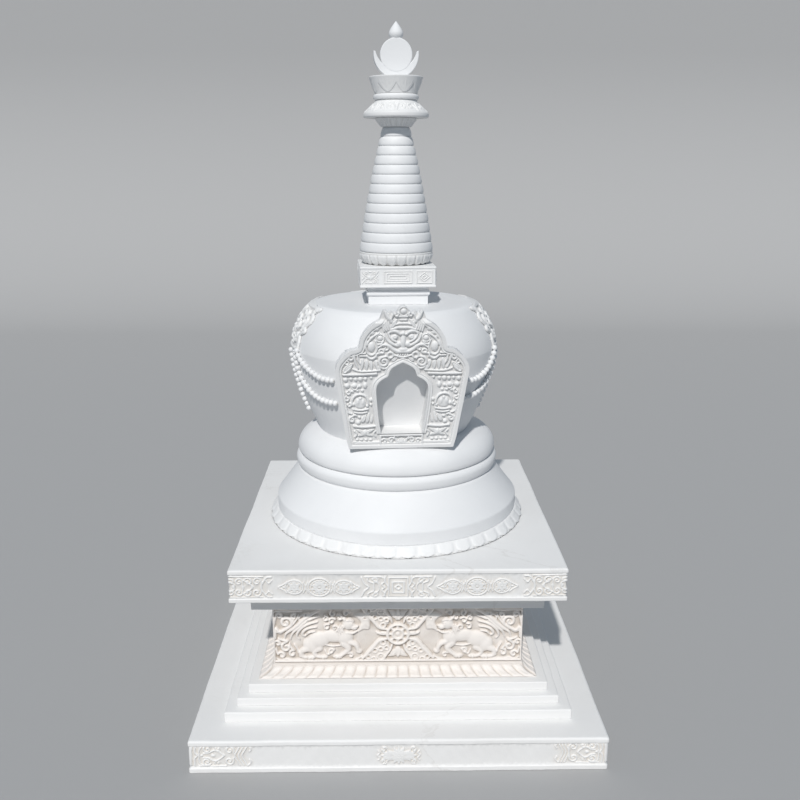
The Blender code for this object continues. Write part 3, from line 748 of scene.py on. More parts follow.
# ---------------------------------------------------------------- lotus cavetto under the dado
def lotus_cavetto():
    half_lo, half_hi, top, low = 0.401, 0.364, 0.205, 0.1803
    n, rows = 24, 16
    us = np.linspace(-1, 1, n * 14 + 1)
    prof = [(0.2, top), (half_hi - 0.010, top), (half_hi - 0.002, top)]
    for i in range(rows + 1):
        t = i / rows
        a = t * math.pi / 2
        prof.append((half_hi + (half_lo - half_hi) * (1 - math.cos(a)) * 0.96 + 0.001, top - 0.001 - (top - low - 0.003) * math.sin(a)))
    prof += [(half_lo, low + 0.0022), (half_lo, low), (half_lo - 0.01, low), (0.2, low)]
    relief = {}
    s = (us + 1) / 2 * n
    q = np.abs(s - np.floor(s) - 0.5) * 2
    alt = np.floor(s).astype(int) % 2
    for i in range(rows + 1):
        t = i / rows
        # petals stand on the lower edge and bend back under the dado
        tip = 0.10 + 0.10 * (1 - np.sqrt(np.maximum(0, 1 - q ** 2)))
        body = np.sqrt(np.maximum(0, 1 - np.clip(q / 0.93, 0, 1) ** 2.4))
        up = np.clip((t - tip) / 0.16, 0, 1)
        lowfade = np.clip((1.0 - t) / 0.06, 0, 1)
        off = 0.0052 * body * np.sqrt(up) * lowfade
        off *= 1 - 0.25 * np.clip(1 - (q / 0.5) ** 2, 0, 1) * np.clip((t - 0.35) / 0.3, 0, 1)
        # hollows between and beneath the petals, for the marble's dirt and painted shade
        cv = np.clip(1.0 - body * np.sqrt(up) * 1.6, 0, 1) * (0.35 + 0.5 * (1 - abs(2 * t - 1)))
        relief[3 + i] = (off, cv)
    ob = course("plinth_lotus_petals", prof, 0.003, us, relief=relief, seed=16, uneven=0.0003)
    return settle(reduce(ob, 40000), CARVED, "plinth_lotus_cavetto")


lotus_cavetto()


# ---------------------------------------------------------------- drum and tori
def petal_pattern(n, tip_low=True, rib=0.25):
    """Height 0..1 and hollow 0..1 of a ring of n rounded lotus petals; the hollow value carries dirt and painted shade.
    t runs 0 at the root to 1 at the tip.
    """
    def f(T, t):
        s = T / TAU * n
        q = np.abs(s - np.floor(s) - 0.5) * 2
        s2 = s + 0.5
        q2 = np.abs(s2 - np.floor(s2) - 0.5) * 2
        t = np.clip(t, 0, 1)
        # front petals: straight sides, round tip
        half = np.where(t < 0.55, 0.94, 0.94 * np.sqrt(np.maximum(0, 1 - ((t - 0.55) / 0.45) ** 2)))
        r = q / np.maximum(half, 1e-4)
        body = np.where(r < 1, np.sqrt(np.maximum(0, 1 - np.clip((r - 0.35) / 0.65, 0, 1) ** 2)), 0)
        lip = np.where(r < 1, np.exp(-((r - 0.80) / 0.13) ** 2), 0) * rib
        inner = np.where(r < 1, body * (0.72 + lip) + 0.20 * body * np.clip(t, 0, 1), 0)
        # back petals peep out between the tips
        half2 = np.where(t < 0.72, 0.55, 0.55 * np.sqrt(np.maximum(0, 1 - ((t - 0.72) / 0.28) ** 2)))
        r2 = q2 / np.maximum(half2, 1e-4)
        back = np.where(r2 < 1, 0.42 * np.sqrt(np.maximum(0, 1 - r2 ** 2)), 0)
        h = np.maximum(inner, back)
        cav = np.clip(1 - h / 0.5, 0, 1)
        return h, cav
    return f


def drum_lotus():
    top, low, r_in, r_out = 0.581, 0.5513, 0.378, 0.399
    prof = [(0, top), (0.30, top), (r_in - 0.004, top), (r_in - 0.0005, top - 0.0002)]
    slope = dense([(r_in + 0.0005, top - 0.0012), (r_out - 0.0095, 0.5665), (r_out - 0.0035, 0.5585), (r_out - 0.0015, low + 0.0012)], 0.0016)
    prof += slope + [(r_out - 0.002, low), (0.30, low), (0, low)]
    pat = petal_pattern(44, rib=0.08)
    k0 = 4
    zs = np.array([p[1] for p in slope])
    rs = np.array([p[0] for p in slope])
    run = np.concatenate([[0], np.cumsum(np.hypot(np.diff(rs), np.diff(zs)))])
    run /= run[-1]

    def disp(T, R, Z):
        t = np.zeros_like(R)
        m = len(prof) - 2
        cols = np.zeros(m)
        cols[k0 - 1:k0 - 1 + len(slope)] = run
        on = np.zeros(m)
        on[k0 - 1:k0 - 1 + len(slope)] = 1
        t = np.broadcast_to(cols[None, :], R.shape)
        h, c = pat(T, t * 1.02)
        edge = np.clip(t / 0.06, 0, 1)
        h = (h * 0.0052 - 0.0026) * edge * on[None, :]
        return h, c * on[None, :] * 0.5
    ob = lathe("drum_lotus_petals", prof, 44 * 22, disp, uneven=0.0002, seed=21)
    return settle(reduce(ob, 46000), FRAMED, "drum_lotus_ring")


drum_lotus()


def bulge(r, z_low, z_top, r_low, r_top, power, n):
    pts = []
    zm = z_low + (z_top - z_low) * power
    for i in range(n + 1):
        t = i / n
        if t < 0.6:
            a = (1 - t / 0.6) * math.pi / 2
            pts.append((r_top + (r - r_top) * math.cos(a), zm + (z_top - zm) * math.sin(a)))
        else:
            a = (t - 0.6) / 0.4 * math.pi / 2
            pts.append((r_low + (r - r_low) * math.cos(a), zm - (zm - z_low) * math.sin(a)))
    return pts


def turned(name, line, seg, mat, *nodes, step=0.012, n=5, seed=1, uneven=0.0003, turn=0.0, shift=0.0, wave=0.12):
    prof = dense(fillet(line, n), step)
    prof = [prof[0]] + [p for p in prof[1:-1] if p[0] > 1e-6] + [prof[-1]]
    ob = lathe(name, prof, seg, uneven=uneven, seed=seed, wave=wave)
    placed(ob, turn, shift)
    return settle(ob, mat, *nodes)


# flared skirt with a plain upright band at its foot
skirt = [(0.305, 0.715)]
for i in range(1, 13):
    t = i / 13
    skirt.append((0.305 + (0.372 - 0.305) * t ** 1.06, 0.715 - (0.715 - 0.622) * t ** 0.97))
turned("drum_skirt", [(0, 0.715), (0.27, 0.715)] + skirt + [(0.3735, 0.6205, 0.002), (0.375, 0.6165, 0.002), (0.375, 0.5813, 0.0012), (0.30, 0.5813), (0, 0.5813)],
       168, SMOOTH, "drum", seed=22, uneven=0.0005, wave=0.2)
turned("torus_lower_moulding", [(0, 0.758), (0.26, 0.758)] + bulge(0.3125, 0.7153, 0.758, 0.302, 0.288, 0.55, 26) + [(0.26, 0.7153), (0, 0.7153)],
       168, SMOOTH, "torus_lower", seed=23, uneven=0.0004)
turned("torus_upper_moulding", [(0, 0.832), (0.20, 0.832)] + bulge(0.306, 0.7583, 0.832, 0.299, 0.231, 0.19, 34) + [(0.26, 0.7583), (0, 0.7583)],
       168, SMOOTH, "torus_upper", seed=24, uneven=0.0004)


# ---------------------------------------------------------------- vase
def vase_r(z):
    z = np.asarray(z, float)
    tu, tl = np.clip((z - 1.085) / 0.131, 0, 2), np.clip((1.085 - z) / 0.253, 0, 2)
    up = 0.3075 - 0.013 * tu - 0.0535 * tu ** 1.95
    lo = 0.3075 - 0.026 * tl - 0.0505 * tl ** 2.1
    return np.where(z >= 1.085, up, lo)


def vase_normal(z):
    d = (float(vase_r(z + 0.002)) - float(vase_r(z - 0.002))) / 0.004
    n = math.hypot(1, d)
    return 1 / n, -d / n


def vase_at(az, z, off):
    """Point off above the vase's face; azimuth in degrees, 0 in front and + to the right."""
    nx, nz = vase_normal(z)
    r = float(vase_r(z)) + off * nx
    a = math.radians(az)
    return Vector((r * math.sin(a), -r * math.cos(a), z + off * nz))


def upper(ob):
    """Set a piece on with the vase: turned, and a little to the left."""
    return placed(ob, TURN, VASE_SHIFT)


FRAME_LEAN, FRAME_Z, FRAME_X = 0.21, 1.1806, 0.0034
opening_half = [(0.0580, 0.8770), (0.0590, 0.8830), (0.0640, 0.9136), (0.0680, 0.9500), (0.0712, 0.9880), (0.0724, 1.0090), (0.0720, 1.0180),
                (0.0700, 1.0262), (0.0655, 1.0340), (0.0592, 1.0405), (0.0520, 1.0455), (0.0440, 1.0498), (0.0402, 1.0520), (0.0384, 1.0560),
                (0.0370, 1.0625), (0.0342, 1.0700), (0.0292, 1.0765), (0.0210, 1.0822), (0.0105, 1.0880), (0.0, 1.0928)]


def niche_back(z):
    """The niche's back wall leans out towards the top."""
    return -(0.190 + 0.38 * (z - 0.877))


def mirrored(half):
    return half + [(-x, z) for x, z in reversed(half) if x > 1e-9]


opening = np.array(mirrored(opening_half))


def vase():
    up = [1.216 - 0.0005 - (1.216 - 0.0005 - 1.0875) * (i / 22) ** 0.95 for i in range(23)]
    lo = [1.0835 - (1.0835 - 0.8345) * i / 34 for i in range(35)]
    line = [(0, 1.216), (0.19, 1.216), (0.224, 1.216), (0.2330, 1.2157), (0.2375, 1.2143)]
    line += [(float(vase_r(z)), z) for z in up if z < 1.2125]
    line += [(0.30735, 1.0860), (0.3074, 1.0848)]
    line += [(float(vase_r(z)), z) for z in lo] + [(0.2308, 0.8323), (0.20, 0.8323), (0, 0.8323)]
    ob = lathe("vase_stone", line, 256, uneven=0.0006, wave=0.22, seed=31)
    # the arched niche
    n = len(opening)
    wide = [(FRAME_X + x * 1.0125, 0.985 + (z - 0.985) * 1.009) for x, z in opening]
    co = [(x, -0.42, z) for x, z in wide] + [(x, niche_back(z), z) for x, z in wide]
    faces = [list(range(n)), list(range(2 * n - 1, n - 1, -1))]
    faces += [[i, i + n, (i + 1) % n + n, (i + 1) % n] for i in range(n)]
    cut = build("niche_cut", co, faces)
    bm = bmesh.new()
    bm.from_mesh(cut.data)
    bmesh.ops.recalc_face_normals(bm, faces=bm.faces)
    bm.to_mesh(cut.data)
    bm.free()
    md = ob.modifiers.new("niche", 'BOOLEAN')
    md.operation, md.solver, md.object = 'DIFFERENCE', 'EXACT', cut
    baked(ob)
    bpy.data.objects.remove(cut, do_unlink=True)
    upper(ob)
    return settle(ob, SMOOTH, "vase_body", sharp=40)


vase()


# ---------------------------------------------------------------- beads
def bead_string(name, pts, r, pitch, *nodes):
    """One string of beads: a tube along pts whose girth swells at each bead. Closed at both ends."""
    p = np.array([list(q) for q in pts])
    L = np.concatenate([[0], np.cumsum(np.linalg.norm(np.diff(p, axis=0), axis=1))])
    count = max(2, round(L[-1] / pitch))
    per = 10
    ss = np.linspace(0, L[-1], count * per + 1)
    c = np.stack([np.interp(ss, L, p[:, k]) for k in range(3)], 1)
    for _ in range(2):
        c[1:-1] = (c[:-2] + 2 * c[1:-1] + c[2:]) / 4
    tan = np.gradient(c, axis=0)
    tan /= np.linalg.norm(tan, axis=1)[:, None]
    q = np.abs((ss / L[-1] * count) % 1.0 - 0.5) * 2
    q[0] = q[-1] = 1.0
    which = np.minimum(np.floor(ss / L[-1] * count), count - 1)
    rad = r * np.maximum(0.34, np.sqrt(np.maximum(0, 1 - q ** 2)) * (1 + 0.09 * np.sin(which * 2.39 + len(name)) * np.cos(which * 1.13)))
    rad[0] = rad[-1] = r * 0.18
    up = np.array([0, 0, 1.0])
    seg = 12
    rings = []
    for i in range(len(c)):
        s = np.cross(tan[i], up)
        if np.linalg.norm(s) < 1e-3:
            s = np.array([1.0, 0, 0])
        s /= np.linalg.norm(s)
        w = np.cross(s, tan[i])
        a = np.arange(seg) * TAU / seg
        rings.append(c[i] + rad[i] * (np.cos(a)[:, None] * s + np.sin(a)[:, None] * w))
    co = np.concatenate(rings)
    n = len(c)
    idx = np.arange(n * seg).reshape(n, seg)
    nx = np.roll(idx, -1, axis=1)
    quads = np.stack([idx[:-1], nx[:-1], nx[1:], idx[1:]], -1).reshape(-1, 4).tolist()
    quads.append(idx[0][::-1].tolist())
    quads.append(idx[-1].tolist())
    # the narrow necks between beads get the hollows' tint: dirt and painted shade
    cav = np.repeat(np.clip((q - 0.80) / 0.2, 0, 1) * 0.9, seg)
    ob = build(name, co, quads, cav)
    bm = bmesh.new()
    bm.from_mesh(ob.data)
    bmesh.ops.recalc_face_normals(bm, faces=bm.faces)
    bm.to_mesh(ob.data)
    bm.free()
    return settle(upper(ob), SMOOTH, *nodes, weighted=False)


BEAD = 0.0085


def hung(name, pts, node):
    line = smooth_line([(a, z * 200) for a, z in pts], 8)
    return bead_string(name, [vase_at(a, z / 200, BEAD * 0.80) for a, z in line], BEAD, 0.0166, node)


UPPER_L = [(-68.2, 1.0960), (-67.6, 1.0850), (-63.4, 1.0637), (-58.3, 1.0503), (-53.1, 1.0390), (-47.6, 1.0305), (-42.4, 1.0278), (-37.0, 1.0284)]
LOWER_L = [(-70.8, 1.0900), (-70.8, 1.0582), (-70.3, 1.0270), (-67.4, 1.0030), (-62.4, 0.9846), (-56.8, 0.9700), (-50.9, 0.9618), (-44.8, 0.9585), (-37.5, 0.9592)]
UPPER_R = [(68.2, 1.0960), (67.6, 1.0800), (65.4, 1.0630), (62.4, 1.0489), (58.0, 1.0345), (53.6, 1.0260), (48.9, 1.0198), (44.6, 1.0183), (38.5, 1.0200)]
LOWER_R = [(70.6, 1.0850), (70.4, 1.0600), (69.0, 1.0310), (65.6, 1.0065), (59.6, 0.9890), (54.0, 0.9772), (49.5, 0.9705), (44.0, 0.9670), (38.0, 0.9665)]
hung("pearls_front_left_upper", UPPER_L, "beads_front_left_upper")
hung("pearls_front_left_lower", LOWER_L, "beads_front_left_lower")
hung("pearls_front_right_upper", UPPER_R, "beads_front_right_upper")
hung("pearls_front_right_lower", LOWER_R, "beads_front_right_lower")
for side, s in (("left", -1), ("right", 1)):
    hung(f"pearls_back_{side}_upper", [(s * (135 + 24 * k / 8), 1.0235 + 0.070 * abs(k / 8) ** 2.1) for k in range(-8, 9)], f"beads_back_{side}_upper")
    hung(f"pearls_back_{side}_lower", [(s * (135 + 26.5 * k / 8), 0.9600 + 0.122 * abs(k / 8) ** 2.4) for k in range(-8, 9)], f"beads_back_{side}_lower")
for nm, az in (("left", -90), ("right", 90), ("back", 180)):
    hung(f"pearls_drop_{nm}", [(az, 1.078 - 0.198 * i / 10) for i in range(11)], f"beads_drop_{nm}")


# ---------------------------------------------------------------- harmika
plain_course("harmika_foot_stone", 0.0875, 1.242, 1.2163, SMOOTH, "harmika_foot", rt=0.002, rb=0.001, rc=0.0015, n=12, uneven=0.0002)
placed(bpy.data.objects["harmika_foot_stone"], TURN)
hf = fillet([(0.05, 1.2685), (0.080, 1.2685), (0.0880, 1.2685, 0.001), (0.0880, 1.2575, 0.001), (0.0922, 1.2560, 0.0012),
             (0.0922, 1.2465, 0.0015), (0.0895, 1.2423, 0.001), (0.080, 1.2423), (0.05, 1.2423)], 4)
settle(placed(course("harmika_fillet_stone", hf, 0.0015, sparse_us(12), seed=42, uneven=0.0002), TURN), SMOOTH, "harmika_fillet")


# ---------------------------------------------------------------- spire
def spire_lotus():
    top, low, r0, r1 = 1.3654, 1.3293, 0.083, 0.109
    prof = [(0, top), (0.085, top), (r1 - 0.0062, top), (r1 - 0.0022, top - 0.0006), (r1 - 0.0006, top - 0.0022)]
    wall = []
    for i in range(25):
        a = i / 24 * math.pi / 2
        wall.append((r0 + (r1 - r0) * math.cos(a) * 1.0, (top - 0.004) - (top - 0.004 - low) * math.sin(a)))
    prof += wall + [(r0 - 0.004, low), (0, low)]
    k0 = 5
    n = 23

    def disp(T, R, Z):
        m = len(prof) - 2
        cols, on = np.zeros(m), np.zeros(m)
        cols[k0 - 1:k0 - 1 + len(wall)] = np.linspace(0, 1, len(wall))
        on[k0 - 1:k0 - 1 + len(wall)] = 1
        t = np.broadcast_to(cols[None, :], R.shape)
        s = T / TAU * n
        q = np.abs(s - np.floor(s) - 0.5) * 2
        # petals hang from the rim, pointed at the foot
        t1 = np.clip((t - 0.05) / 0.80, 0, 1)
        half = np.where(t1 < 0.45, 0.95, 0.95 * np.sqrt(np.maximum(0, 1 - ((t1 - 0.45) / 0.55) ** 2)))
        r = q / np.maximum(half, 1e-4)
        body = np.where(r < 1, np.sqrt(np.maximum(0, 1 - np.clip((r - 0.3) / 0.7, 0, 1) ** 2)), 0)
        hollow = 0.34 * np.clip(1 - (r / 0.6) ** 2, 0, 1) * np.clip((0.8 - t1) / 0.3, 0, 1)
        top_in = np.clip((t - 0.03) / 0.07, 0, 1)
        h = body * (1 - hollow) * top_in
        foot = np.clip((t - 0.86) / 0.05, 0, 1) * 0.75
        h = np.maximum(h, foot)
        # the second value marks the hollows between the petals for dirt and painted shade
        return (h * 0.0032 - 0.0014) * on[None, :] * np.clip((1 - t) / 0.04, 0, 1), np.clip(1 - h * 1.5, 0, 1) * on[None, :] * 0.38
    ob = lathe("spire_lotus_petals", prof, n * 22, disp, uneven=0.0001, seed=51)
    return settle(reduce(ob, 26000), FRAMED, "spire_lotus")


spire_lotus()


def spire_r(z):
    t = z - 1.3654
    return 0.1083 - 0.148 * t - 0.11 * t * t - 0.10 * t ** 3


def spire_rings():
    zj = 1.3657
    line = []
    for j in range(13):
        h = 0.0282 - 0.0002 * j - (0.0003 if j == 0 else 0.0)
        lo, hi = zj, zj + h
        rm = spire_r((lo + hi) / 2)
        ring = []
        for k in range(13):
            a = -math.pi / 2 + math.pi * k / 12
            # a soft cushion: nearly upright face, rounded towards both grooves
            s = math.copysign(abs(math.sin(a)) ** 0.80, math.sin(a))
            c = max(0.0, math.cos(a)) ** 0.62
            z = (lo + hi) / 2 + s * h / 2
            r = spire_r(z) - 0.0046 + 0.0062 * c
            ring.append((r, z))
        line.append(ring)
        zj = hi
    pts = [(0, zj), (0.030, zj)]
    for k, ring in enumerate(reversed(line)):
        ring = list(reversed(ring))
        pts += ring if k == 0 else ring[1:]
    pts += [(0.06, 1.3657), (0, 1.3657)]
    ob = lathe("spire_thirteen_rings", pts, 120, uneven=0.0003, wave=0.06, seed=52)
    return settle(ob, SMOOTH, "spire_rings", weighted=False), zj


_, SPIRE_TOP = spire_rings()


# ---------------------------------------------------------------- umbrella, collar, crown
def umbrella_lotus():
    top, low = 1.7415, SPIRE_TOP + 0.0003
    ctrl = [(0.0600, top - 0.0008), (0.0595, top - 0.003), (0.0560, top - 0.0085), (0.0520, top - 0.0125), (0.0475, top - 0.0185), (0.0440, low + 0.001)]
    wall = [tuple(p) for p in smooth_line(ctrl, 6)]
    prof = [(0, top), (0.05, top), (0.0588, top)] + wall + [(0.0425, low), (0, low)]
    k0, n = 3, 20

    def disp(T, R, Z):
        m = len(prof) - 2
        cols, on = np.zeros(m), np.zeros(m)
        cols[k0 - 1:k0 - 1 + len(wall)] = np.linspace(0, 1, len(wall))
        on[k0 - 1:k0 - 1 + len(wall)] = 1
        t = np.broadcast_to(cols[None, :], R.shape)
        s = T / TAU * n
        q = np.abs(s - np.floor(s) - 0.5) * 2
        body = np.sqrt(np.maximum(0, 1 - np.clip(q / 0.95, 0, 1) ** 2))
        ends = np.clip(t / 0.10, 0, 1) * np.clip((1 - t) / 0.08, 0, 1)
        h = body * (1 - 0.3 * np.clip(1 - (q / 0.4) ** 2, 0, 1))
        # the second value marks the hollows between the petals for dirt and painted shade
        return (h * 0.0024 - 0.0012) * ends * on[None, :], np.clip(1 - h * 1.4, 0, 1) * on[None, :] * 0.3
    ob = lathe("umbrella_lotus_petals", prof, n * 20, disp, uneven=0.0, seed=53)
    return settle(ob, FRAMED, "umbrella_lotus")


umbrella_lotus()


def ring_relief(prof, k0, wall, f, cav, amp=1.0):
    """disp function that wraps a relief (u = angle, v = 0 at the wall's foot to 1 at its top) on a lathe."""
    m = len(prof) - 2
    on = np.zeros(m)
    on[k0 - 1:k0 - 1 + len(wall)] = 1
    w = np.array(wall)
    run = np.concatenate([[0], np.cumsum(np.hypot(*np.diff(w, axis=0).T))])
    vv = np.zeros(m)
    vv[k0 - 1:k0 - 1 + len(wall)] = 1 - run / run[-1]

    def sample(a, T):
        out = np.zeros(T.shape)
        j = np.interp(vv, f.v, np.arange(len(f.v)))
        j0 = np.clip(np.floor(j).astype(int), 0, len(f.v) - 2)
        fj = j - j0
        i = np.interp(T[:, 0], f.u, np.arange(len(f.u)))
        i0 = np.clip(np.floor(i).astype(int), 0, len(f.u) - 2)
        fi = (i - i0)[:, None]
        A = a[i0][:, j0] * (1 - fi) * (1 - fj) + a[i0 + 1][:, j0] * fi * (1 - fj)
        B = a[i0][:, j0 + 1] * (1 - fi) * fj + a[i0 + 1][:, j0 + 1] * fi * fj
        return (A + B) * on[None, :]

    def disp(T, R, Z):
        return sample(f.h, T) * amp, sample(cav, T)
    return disp


def around(f, n, draw, phase=0.0):
    """Repeat draw(centre u, width) n times round a ring relief, with the seam drawn on both sides."""
    p = TAU / n
    for k in range(-1, n + 1):
        draw((k + 0.5 + phase) * p, p)


def umbrella():
    top, low = 1.790, 1.7418
    wall = []
    for i in range(29):
        t = i / 28
        wall.append((0.0585 + (0.0935 - 0.0585) * t ** 1.28, top - 0.0355 * t))
    prof = [(0, top), (0.045, top)] + wall
    prof += [(0.0941, 1.7530), (0.0943, 1.7500), (0.0942, 1.7465), (0.0936, 1.7438), (0.0920, 1.7422), (0.0890, low), (0.05, low), (0, low)]
    # scrolls round the flare, in units of angle and of height 0..1 scaled to metres
    W = 0.046
    f = Relief(0, TAU, 0, 1, 0.01, nu=900, nv=60)
    g = Relief(0, TAU * 0.08, 0, W, 0.0006)
    R0 = 0.08

    def draw(uc, p):
        c = uc * R0
        half = p * R0 / 2
        for s in (-1, 1):
            g.volute((c + s * half * 0.36, W * 0.46), 0.0085, math.pi / 2, 1.05, s > 0, 0.0028, 0.0022,
                     tail=[(c + s * half * 0.98, W * 0.10), (c + s * half * 0.92, W * 0.34), (c + s * half * 0.72, W * 0.70)])
            g.hole((c + s * half * 0.36, W * 0.46), 0.0026, 0.0026, -0.0016)
        g.petal((c, W * 0.26), math.pi / 2, W * 0.5, 0.0028, 0.0020)
    around(g, 8, draw)
    g.stroke([(0, W * 0.07), (TAU * 0.08, W * 0.07)], 0.0011, 0.0016, smooth=0)
    cav = g.cavity(0.0018, 0.0015, 0.003)
    g2 = Relief(0, TAU, 0, 1, 0.01, nu=len(g.u), nv=len(g.v))
    g2.h = g.h
    ob = lathe("umbrella_canopy", prof, 520, ring_relief(prof, 2, wall, g2, cav * 0.45), uneven=0.0001, seed=54)
    return settle(reduce(ob, 32000), FRAMED, "umbrella")


umbrella()
turned("umbrella_collar_ring", [(0, 1.806), (0.04, 1.806)] + bulge(0.0655, 1.7903, 1.806, 0.061, 0.059, 0.5, 18) + [(0.04, 1.7903), (0, 1.7903)],
       112, SMOOTH, "umbrella_collar", seed=55, uneven=0.0001)


def crown():
    top, low, R = 1.853, 1.8063, 0.078
    wall = []
    for i in range(33):
        t = i / 32
        wall.append((0.0625 + (R - 0.0008 - 0.0625) * (1 - t) ** 1.12, top - 0.002 - (top - 0.002 - low) * t))
    prof = [(0, top - 0.003), (0.05, top - 0.003), (R - 0.0065, top - 0.003), (R - 0.0055, top - 0.0028), (R - 0.0045, top - 0.0008), (R - 0.0028, top), (R - 0.0012, top - 0.0008)]
    k0 = len(prof)
    prof += wall + [(0.0605, low), (0, low)]
    W, R0 = 0.049, 0.068
    g = Relief(0, TAU * R0, 0, W, 0.0006)

    def draw(uc, p):
        c, half = uc * R0, p * R0 / 2
        # a broad leaf with a folded middle, and a narrower one behind each joint
        g.fill([(c - half * 1.02, W * 0.88), (c - half * 0.92, W * 0.50), (c - half * 0.45, W * 0.16), (c, W * 0.03), (c + half * 0.45, W * 0.16),
                (c + half * 0.92, W * 0.50), (c + half * 1.02, W * 0.88)], 0.0030, 0.0022, smooth=4)
        g.stroke([(c, W * 0.10), (c, W * 0.80)], [0.0010, 0.0018], 0.0042)
        for s in (-1, 1):
            g.stroke([(c + s * half * 0.10, W * 0.16), (c + s * half * 0.55, W * 0.45), (c + s * half * 0.78, W * 0.80)], 0.0010, 0.0042)
            g.volute((c + s * half * 0.42, W * 0.62), 0.0042, -math.pi / 2, 1.1, s < 0, 0.0011, 0.0040)
    around(g, 8, draw)
    g.stroke([(0, W * 0.93), (TAU * R0, W * 0.93)], W * 0.09, 0.0030, kind='band', smooth=0)
    cav = g.cavity(0.0024, 0.0018, 0.004)
    g2 = Relief(0, TAU, 0, 1, 0.01, nu=len(g.u), nv=len(g.v))
    g2.h = (g.h - 0.0030) * 0.55
    ob = lathe("crown_leaves", prof, 620, ring_relief(prof, k0, wall, g2, cav * 0.30), uneven=0.0, seed=56)
    return settle(reduce(ob, 32000), FRAMED, "crown")


crown()


# ---------------------------------------------------------------- crescent, sun disc, jewel
def slab_from_outline(name, poly, y0, y1, r):
    """Plate of an outline in the x-z plane with rounded arrises on both faces."""
    n = len(poly)
    p = np.array(poly)
    d = np.roll(p, -1, 0) - np.roll(p, 1, 0)
    nrm = np.stack([d[:, 1], -d[:, 0]], 1)
    nrm /= np.linalg.norm(nrm, axis=1)[:, None] + 1e-12
    area = 0.5 * np.sum(p[:, 0] * np.roll(p[:, 1], -1) - np.roll(p[:, 0], -1) * p[:, 1])
    if area < 0:
        nrm = -nrm
    rings = []
    steps = [(r * (1 - math.sin(a)), r * (1 - math.cos(a))) for a in np.linspace(0, math.pi / 2, 6)]
    for inset, dy in steps:
        rings.append([(x - nx * inset, y0 + r - (r - dy), z - nz * inset) for (x, z), (nx, nz) in zip(p, nrm)])
    for inset, dy in reversed(steps):
        rings.append([(x - nx * inset, y1 - dy, z - nz * inset) for (x, z), (nx, nz) in zip(p, nrm)])
    co = [c for ring in rings for c in ring]
    m = len(rings)
    faces = [[k * n + i, k * n + (i + 1) % n, (k + 1) * n + (i + 1) % n, (k + 1) * n + i] for k in range(m - 1) for i in range(n)]
    faces += [list(range(n))[::-1], [(m - 1) * n + i for i in range(n)]]
    ob = build(name, co, faces)
    bm = bmesh.new()
    bm.from_mesh(ob.data)
    bmesh.ops.recalc_face_normals(bm, faces=bm.faces)
    bm.to_mesh(ob.data)
    bm.free()
    return ob


def disc_points(r, zc, n=96):
    return [(r * math.cos(TAU * i / n), zc + r * math.sin(TAU * i / n)) for i in range(n)]


SUN_R, SUN_Z = 0.0457, 1.9110
settle(placed(slab_from_outline("sun_disc_stone", disc_points(SUN_R, SUN_Z), -0.015, 0.015, 0.0030), TURN), SMOOTH, "sun_disc")


def crescent():
    foot, tip = 1.8503, 1.922
    R, zc, r_in = 0.0640, 1.9125, SUN_R - 0.0035
    a0, a1 = math.asin((foot - zc) / R), math.asin((tip - zc) / R)
    outer = [(R * math.cos(a0 + (a1 - a0) * i / 26), zc + R * math.sin(a0 + (a1 - a0) * i / 26)) for i in range(27)]
    # inner line: the horn's inner curve, then the seat of the disc
    ri, zi = 0.0600, 1.9345
    b0 = math.asin((tip - 0.002 - zi) / ri)
    inner = []
    for i in range(60):
        b = b0 + (-math.pi / 2 - b0) * i / 59
        x, z = ri * math.cos(b), zi + ri * math.sin(b)
        d = math.hypot(x, z - SUN_Z)
        if d < r_in:
            x, z = x * r_in / d, SUN_Z + (z - SUN_Z) * r_in / d
        inner.append((max(x, 0.0), z))
    half = outer + inner
    ob = slab_from_outline("crescent_stone", mirrored(half), -0.0140, 0.0140, 0.0022)
    return settle(placed(ob, TURN), SMOOTH, "crescent")


crescent()


def jewel():
    tip, r = 2.000, 0.0205
    ctrl = [(0.0006, tip), (0.0028, tip - 0.0026), (0.0062, tip - 0.0066), (0.0110, tip - 0.0130), (0.0160, tip - 0.0205),
            (0.0194, tip - 0.0280), (0.0202, tip - 0.0330), (0.0192, tip - 0.0385), (0.0160, tip - 0.0440), (0.0134, tip - 0.0470), (0.0130, tip - 0.0482)]
    line = [(0, tip)] + [tuple(p) for p in smooth_line(ctrl, 4)]
    # stand on the disc: the foot follows its round edge
    seg = 64
    th = np.arange(seg) * TAU / seg
    rows = []
    for rr, z in line[1:]:
        rows.append(np.stack([rr * np.sin(th), -rr * np.cos(th), np.full(seg, z)], 1))
    rf = 0.0140
    x, y = rf * np.sin(th), -rf * np.cos(th)
    rows.append(np.stack([x, y, SUN_Z + np.sqrt((SUN_R + 0.0003) ** 2 - x ** 2)], 1))
    grid = np.stack(rows, 1)
    m = grid.shape[1]
    co = grid.reshape(-1, 3)
    idx = np.arange(seg * m).reshape(seg, m)
    nx = np.roll(idx, -1, axis=0)
    quads = np.stack([idx[:, :-1], idx[:, 1:], nx[:, 1:], nx[:, :-1]], -1).reshape(-1, 4).tolist()
    quads.append(nx[:, 0].tolist())
    quads.append(idx[::-1, -1].tolist())
    return settle(placed(build("flame_jewel_stone", co, quads), TURN), SMOOTH, "flame_jewel", weighted=False, sharp=50)


jewel()


# ---------------------------------------------------------------- dado carving
# Drawn in view pixels on the plane of the front face; MM is one millimetre.
MM = 0.001
DADO_FACE = 0.3615
HUB = seen_on(397.0, 635.0, -DADO_FACE)
DPX = abs(seen_on(398.0, 635.0, -DADO_FACE)[0] - HUB[0])


